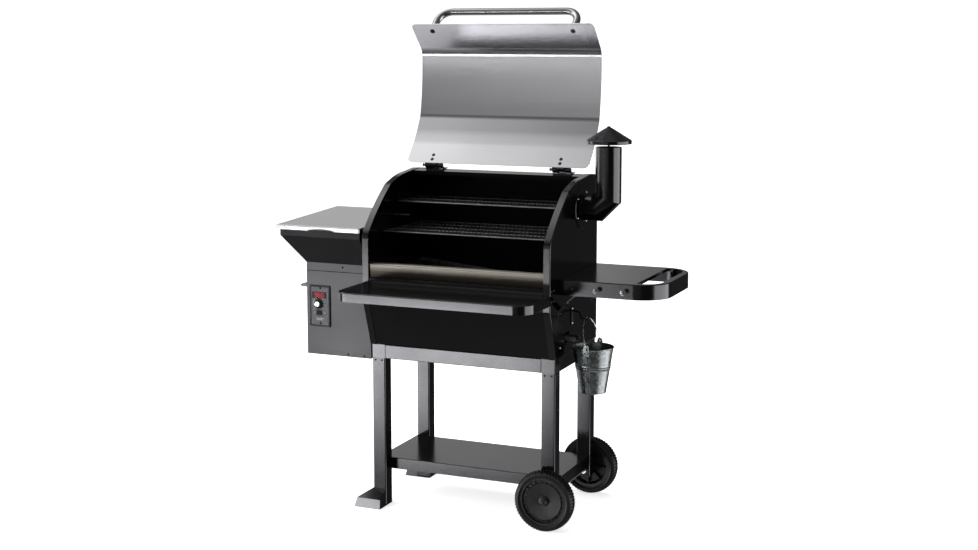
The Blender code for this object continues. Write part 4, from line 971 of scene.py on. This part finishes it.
def panel_details():
    """The dial's ticks and the printed marks, the switch's bezel and the two screws."""
    face = PANEL_FACE
    ink = (face - 0.00025, face)
    marks = []
    for i in range(10):
        length, turns = (0.0222, 0.0248 if i % 3 else 0.0262), [math.radians(-135 + 30 * i)]
        marks += spokes((-0.0005, 0.0005), ink, length, turns, (KNOB[0], 0, KNOB[1]))
    ring = [(0.0022, face), (0.0028, face), (0.0028, ink[0]), (0.0022, ink[0])]
    marks.append(turned("Y", (-0.5135, SWITCH[1]), ring, 20, True))
    marks += [box(about(SWITCH[0] + dx, 0.0006), ink, (0.6545, 0.6605)) for dx in (-0.019, 0.019)]
    marks += [box(about(-0.5325, half), ink, about(row, 0.0008)) for row, half in ((0.6375, 0.016), (0.6325, 0.011))]
    piece("panel_marks", joined(marks), "pale_ink")
    loops = []
    for width, height, out in (
        (0.0112, 0.0092, 0.0), (0.0112, 0.0092, 0.0014), (0.0098, 0.0078, 0.0014), (0.0092, 0.0072, 0.0),
    ):
        outline = rectangle(about(SWITCH[0], width), about(SWITCH[1], height))
        loops.append([(a, face - out, b) for a, b in outline])
    piece("switch_bezel", skin(loops, ring=True), "black_plastic", bevel=0.0003)
    places = [((-0.531, face, height), FRONT) for height in (0.7425, 0.6205)]
    screws("panel_screws", "dark_bolt", places, 0.004, 0.002)


def display():
    """Three digits of seven bars each."""
    w, h, t, z = 0.004, 0.0068, 0.0007, 0.7185
    depth = (PANEL_FACE - 0.0007, PANEL_FACE - 0.0005)
    digits = []
    for place, lit in enumerate(("abcdfg", "acdefg", "abcdef")):
        x = -0.5475 + place * 0.0125
        flat, left, right, upper, lower = about(x, w), about(x - w, t), about(x + w, t), (z, z + h), (z - h, z)
        bars = {
            "a": (flat, about(z + h, t)), "b": (right, upper), "c": (right, lower), "d": (flat, about(z - h, t)),
            "e": (left, lower), "f": (left, upper), "g": (flat, about(z, t)),
        }
        digits += [box(bars[bar][0], depth, bars[bar][1]) for bar in lit]
    piece("display_digits", joined(digits), "display_lit")


def side_grip():
    wall, grip, bar = -0.5853, -0.631, 0.016
    outline = [
        (wall, 0.03, 0.0), (wall, 0.046, 0.0), (grip + bar, 0.046, 0.005), (grip + bar, 0.264, 0.005),
        (wall, 0.264, 0.0), (wall, 0.28, 0.0), (grip, 0.28, 0.012), (grip, 0.03, 0.012),
    ]
    mesh = prism("Z", fillet(outline, 8), (0.738, 0.746))
    piece("side_grip_bar", mesh, "black_coat", stands_for=["side_handle"], bevel=0.0012)
    places = [((wall - 0.01, y, 0.746), UP) for y in (0.038, 0.272)]
    screws("side_grip_screws", "dark_bolt", places, 0.0032, 0.0018)


# --- chimney ---


def chimney():
    x, y, z = 0.4275, 0.239, 1.037
    radius, elbow, top = 0.0435, 0.037, 1.241
    wall = CHAMBER_HALF + GAP
    bends = [Vector(p) for p in ((x - elbow, y, z), (x, y, z + elbow), (x, y, top))]

    def ring(r, out):
        return [Vector((wall + out, a, b)) for a, b in circle((y, z), r, 64)]

    rim = ((0.0714, 0.0), (0.072, 0.0008), (0.0716, 0.002), (0.0706, 0.0026))
    flange = [ring(r, out) for r, out in (*rim, (radius + 0.004, 0.0026), (radius + 0.0012, 0.0034))]
    outer = swept(ring(radius, 0.0022), [Vector((wall + 0.0022, y, z)), *bends])
    inner = swept(ring(radius - SHEET, 0.0), [Vector((wall, y, z)), *bends])
    mesh = skin(flange + outer + inner[::-1], ring=True)
    piece("chimney_tube", mesh, "black_coat", stands_for=["chimney_pipe"], smooth=28.0)
    places = []
    for turn in map(math.radians, (57, 147, 213, 303)):
        places.append(((wall + 0.0026, y + 0.058 * math.cos(turn), z + 0.058 * math.sin(turn)), RIGHT))
    screws("chimney_screws", "zinc_steel", places, 0.0044, 0.003)
    half, width = radius - 0.0016, about(y, 0.007)
    bridge = [box(about(x, half), width, (top - 0.022, top - 0.0205))]
    for way in (-1, 1):
        end = x + way * half
        bridge.append(box(sorted((end, end - way * 0.0015)), width, (top - 0.034, top - 0.0205)))
    nut = [(0.0042, top - 0.0204), (0.0078, top - 0.0204), (0.0078, top - 0.016), (0.0042, top - 0.016)]
    bridge.append(turned("Z", (x, y), nut, 6, True))
    piece("chimney_bridge", joined(bridge), "zinc_steel")
    brim, apex, cap = 1.252, 1.31, 0.076
    under, inside = brim + 0.012, cap - SHEET
    profile = [
        (0.0015, top - 0.08), (0.004, top - 0.078), (0.004, apex - 0.012), (inside - 0.001, under - 0.0012),
        (inside, under - 0.003), (inside, brim + 0.0006), (cap - 0.0008, brim), (cap, brim + 0.0008),
        (cap, under - 0.0022), (cap - 0.0005, under - 0.0006), (cap - 0.002, under + 0.0008),
        (0.0125, apex - 0.007), (0.01, apex - 0.0056), (0.0075, apex - 0.005), (0.0072, apex - 0.003),
        (0.005, apex - 0.0008), (0.002, apex),
    ]
    mesh = turned("Z", (x, y), profile, 72)
    piece("chimney_hat", mesh, "black_coat", "chimney_cap", ["chimney_cap"], smooth=26.0)


# --- grease bucket ---


def pail():
    x, y, bottom, rim, eye = 0.419, 0.123, 0.441, 0.594, 0.6
    r0, r1 = 0.044, 0.068
    wall = 0.0008
    slope = (r1 - r0) / (rim - bottom)

    def radius(z):
        return r0 + slope * (z - bottom)

    def bead(z):
        """How far two pressed rings stand out at a height."""
        return sum(0.0022 * math.exp(-(((z - place) / 0.0016) ** 2)) for place in (0.524, 0.531))

    heights = [bottom + 0.012 + i * (rim - bottom - 0.016) / 60 for i in range(61)]
    profile = [
        (r0 - 0.006, bottom + 0.0045), (radius(bottom + 0.006) - wall, bottom + 0.0058),
        *[(radius(z) - wall + bead(z) * 0.8, z) for z in heights],
        (r1 - wall, rim - 0.0012), (r1, rim), (r1 + 0.001, rim - 0.0004), (r1 + 0.0015, rim - 0.0018),
        (r1 + 0.0012, rim - 0.0036), (r1 - 0.0004, rim - 0.005),
        *[(radius(z) + bead(z) * 0.8, z) for z in reversed(heights)],
        (r0 + 0.0006, bottom + 0.0016), (r0, bottom), (r0 - 0.0012, bottom), (r0 - 0.0014, bottom + 0.0038),
    ]
    parts = [turned("Z", (x, y), profile, 96)]
    seam = []
    for z in (bottom + 0.004 + i * (rim - bottom - 0.012) / 12 for i in range(13)):
        ring = []
        for out, along in ((-0.0003, -0.0036), (0.001, -0.003), (0.001, 0.003), (-0.0003, 0.0036)):
            r, turn = radius(z) + out + bead(z), math.radians(-86) + along / radius(z)
            ring.append((x + r * math.cos(turn), y + r * math.sin(turn), z))
        seam.append(ring)
    parts.append(skin(seam))
    low, high = rim - 0.021, 0.6085
    outline = fillet([
        (x - 0.0105, low, 0.003), (x + 0.0105, low, 0.003), (x + 0.0085, high, 0.0075), (x - 0.0085, high, 0.0075),
    ], 6)
    hole = circle((x, eye), 0.0028, len(outline), math.atan2(outline[0][1] - eye, outline[0][0] - x))
    for way in (-1, 1):
        face = y + way * r1
        ear = [
            [(a, face + way * (lift - max(0.0, rim - b) * slope * 0.6), b) for a, b in outline]
            for lift in (0.0002, 0.0016)
        ]
        ear += [[(a, face + way * lift, b) for a, b in hole] for lift in (0.0016, 0.0002)]
        parts.append(skin(ear, ring=True))
        for dx in (-0.0055, 0.0055):
            parts.append(screw((x + dx, face - way * 0.0006, rim - 0.015), (0, way, 0.15), 0.0023, 0.0016))
    piece("pail_body", joined(parts), "galvanised", "bucket", ["grease_bucket"], smooth=40.0)
    reach, apex = r1 + 0.0052, Vector((0.3949, y, 0.688))
    arch = []
    for turn in (math.pi * i / 32 for i in range(1, 32)):
        share = math.sin(turn)
        arch.append((x + (apex.x - x) * share, y - reach * math.cos(turn), eye + (apex.z - eye) * share))
    inner, outer = r1 - 0.003, reach - 0.0012
    start, end = [(x, y - out, eye) for out in (inner, outer)], [(x, y + out, eye) for out in (outer, inner)]
    path = start + arch + end
    piece("pail_bail", tube(path, 0.0016, 12), "zinc_steel", "bail", ["bucket_bail"])


def bracket_screws():
    hook = [screw((CHAMBER_HALF + 0.0023, 0.1427, z), RIGHT, 0.0042, 0.0024) for z in (0.662, 0.7105)]
    spout = screw((CHAMBER_HALF, 0.035, 0.598), RIGHT, 0.0036, 0.0024)
    piece("hook_screws", joined([*hook, spout]), "zinc_steel")
    places = [((CHAMBER_HALF + 0.0018, y, 0.712), RIGHT) for y in (0.032, 0.356)]
    screws("brace_screws", "dark_bolt", places, 0.0042, 0.0026)


# --- carried-over nodes ---


CARRIED = {
    "black_coat": [
        "hopper_lid_hinge", "left_hinge_base", "right_hinge_base", "left_hinge_leaf", "right_hinge_leaf",
        "front_shelf_brace", "rear_shelf_brace",
    ],
    "dull_coat": ["hopper_bin"],
    "dark_bolt": ["bucket_hook"],
    "raw_steel": [
        "drip_tray", "heat_baffle", "fire_pot", "igniter_rod", "temperature_probe", "auger_tube", "auger_screw",
        "auger_motor", "fan_housing", "fan_impeller", "grease_spout", "left_hinge_pin", "right_hinge_pin",
    ],
    "black_plastic": ["power_switch"],
    "display_red": ["display_window"],
    "panel_print": ["control_panel"],
}


def carry_over():
    """Gives the CAD nodes that stay on show their materials, and breaks the sharpest edges of the bin and of the
    black-coated ones but the hopper lid's hinge.
    """
    for look, names in CARRIED.items():
        for name in names:
            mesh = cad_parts[name].data
            mesh.materials.clear()
            mesh.materials.append(MATERIALS[look])
    hopper_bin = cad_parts["hopper_bin"]
    hopper_bin.data.materials.append(MATERIALS["matt_coat"])
    for face in hopper_bin.data.polygons:
        face.material_index = int((hopper_bin.matrix_world @ face.center).z < 0.84)
    for name in ["hopper_bin", *CARRIED["black_coat"][1:]]:
        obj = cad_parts[name]
        obj.modifiers.new("weld", "WELD").merge_threshold = 1e-5
        bevel_edges(obj, 0.0006 if name == "hopper_bin" else 0.0004)


# --- studio ---


def studio():
    mesh = box((-400, 400), (-400, 400), (-0.02, -0.0002))
    glow = {"Emission_Strength": 0.75, "Emission_Color": (1.0, 1.0, 1.0)}
    look = Shader("floor_look", (0.93, 0.93, 0.93), 0.9, Specular_IOR_Level=0.1, **glow)
    mesh.materials.append(look.material)
    floor = bpy.data.objects.new("floor", mesh)
    bpy.context.scene.collection.objects.link(floor)
    floor.visible_glossy = False
    floor.visible_diffuse = False
    sky()
    for name, place, target, size, power in (
        ("key", (-2.2, -3.6, 2.6), (0.0, 0.0, 0.7), (2.4, 1.8), 90.0),
        ("top", (0.0, 0.2, 4.2), (0.0, 0.0, 0.5), (4.5, 4.5), 150.0),
    ):
        light = bpy.data.lights.new(name, "AREA")
        light.shape = "RECTANGLE"
        light.size, light.size_y = size
        light.energy = power
        obj = bpy.data.objects.new(name, light)
        obj.location = place
        obj.rotation_euler = (Vector(target) - Vector(place)).to_track_quat("-Z", "Y").to_euler()
        obj.visible_glossy = False
        bpy.context.scene.collection.objects.link(obj)

# the sky's level at each sine of elevation, from straight down to straight up
LAYERS = (
    (-1.0, 0.7), (-0.92, 0.85), (-0.85, 0.78), (-0.74, 0.26), (-0.58, 0.17), (-0.3, 0.06), (0.0, 0.03),
    (0.12, 0.045), (0.35, 0.1), (0.6, 0.12), (0.86, 0.14), (1.0, 0.6),
)
# soft boxes: azimuth from -Y towards +X in degrees, half width and soft edge in degrees, then the sines of the
# lowest elevation, its blur, the highest elevation and its blur, and the strength
PATCHES = (
    (-46.0, 21.0, 9.0, -0.229, 0.045, -0.182, 0.025, 15.0),
    (99.0, 32.0, 4.0, -0.4, 0.12, 0.04, 0.14, 3.8),
    (-80.0, 7.0, 5.0, -0.085, 0.03, 0.6, 0.03, 3.4),
    (-38.0, 22.0, 12.0, -0.06, 0.12, 0.3, 0.12, 0.2),
    (-150.0, 5.0, 13.0, 0.08, 0.08, 0.45, 0.08, 0.5),
    (-163.0, 15.0, 4.0, -0.55, 0.1, -0.12, 0.1, 0.8),
    (-112.0, 16.0, 6.0, -0.55, 0.1, -0.12, 0.1, 0.9),
    (-85.0, 30.0, 32.0, 0.62, 0.1, 0.8, 0.15, 1.15),
    (-5.0, 14.0, 9.0, -0.1, 0.08, 0.05, 0.4, 0.5),
)

CEILING = 2.5
SEEN_WHITE = 1.05  # the sky where the camera sees it directly


def sky():
    """A white studio: soft boxes as smooth patches of the sky's directions, white where seen directly."""
    world = bpy.data.worlds.new("studio")
    bpy.context.scene.world = world
    world.use_nodes = True
    tree = world.node_tree
    tree.nodes.clear()

    def add(kind, **inputs):
        return fill(tree.nodes.new(f"ShaderNode{kind}"), **inputs)

    def maths(kind, *values):
        made = add("Math")
        made.operation = kind
        for socket, value in zip(made.inputs, values):
            if isinstance(value, float):
                socket.default_value = value
            else:
                tree.links.new(value, socket)
        return made.outputs[0]

    def product(value, *others):
        for other in others:
            value = maths("MULTIPLY", value, other)
        return value

    def rise(value, start, end):
        made = add("MapRange", Value=value, From_Min=start, From_Max=end)
        made.interpolation_type = "SMOOTHSTEP"
        return made.outputs["Result"]

    def fall(value, start, end):
        return maths("SUBTRACT", 1.0, rise(value, start, end))

    direction = add("TexCoord").outputs["Generated"]
    east, north, up = add("SeparateXYZ", Vector=direction).outputs
    level = maths("SQRT", maths("MAXIMUM", maths("SUBTRACT", 1.0, product(up, up)), 1e-4))
    heights = add("MapRange", Value=up, From_Min=-1.0).outputs["Result"]
    total = graded(add("ValToRGB", Fac=heights), [((height + 1.0) / 2, light) for height, light in LAYERS])
    for azimuth, half_width, soft, low, low_blur, high, high_blur, strength in PATCHES:
        turn = math.radians(azimuth)
        flat = maths("ADD", product(east, math.sin(turn)), product(north, -math.cos(turn)))
        edges = math.cos(math.radians(half_width + soft)), math.cos(math.radians(half_width))
        wide = rise(maths("DIVIDE", flat, level), *edges)
        patch = product(wide, rise(up, low - low_blur, low), fall(up, high, high + high_blur), strength)
        total = maths("ADD", total, patch)
    depth = product(rise(north, -0.3, 0.0), fall(north, 0.1, 0.3))
    total = maths("ADD", total, product(fall(east, -0.44, -0.2), depth, rise(up, 0.3, 0.5), CEILING))
    shown = add("Mix", Factor=add("LightPath").outputs["Is Camera Ray"])
    tree.links.new(total, shown.inputs[2])
    shown.inputs[3].default_value = SEEN_WHITE
    back = add("Background", Color=(1.0, 1.0, 1.0), Strength=shown.outputs[0])
    add("OutputWorld", Surface=back.outputs[0])


def camera():
    data = bpy.data.cameras.new("camera")
    data.sensor_width = 36.0
    data.clip_end = 1000.0
    data.lens = 54.45
    pitch = math.radians(7.0)
    data.shift_y = -0.0579
    obj = bpy.data.objects.new("camera", data)
    heading = math.radians(23.107)
    way = Vector((-math.sin(heading) * math.cos(pitch), math.cos(heading) * math.cos(pitch), -math.sin(pitch)))
    obj.location = CART + Vector((1.9767, -4.3985, 1.6022))
    obj.rotation_euler = way.to_track_quat("-Z", "Y").to_euler()
    bpy.context.scene.collection.objects.link(obj)
    bpy.context.scene.camera = obj


def main():
    cart()
    feet()
    wheels()
    end_walls()
    racks()
    fascia()
    lid_shell()
    lid_grip()
    hinges()
    front_table()
    side_table()
    hopper()
    hopper_top()
    hopper_guard()
    bezel()
    knob()
    panel_details()
    display()
    side_grip()
    chimney()
    pail()
    bracket_screws()
    carry_over()
    studio()
    camera()
    bpy.context.scene.view_settings.view_transform = "Standard"


main()
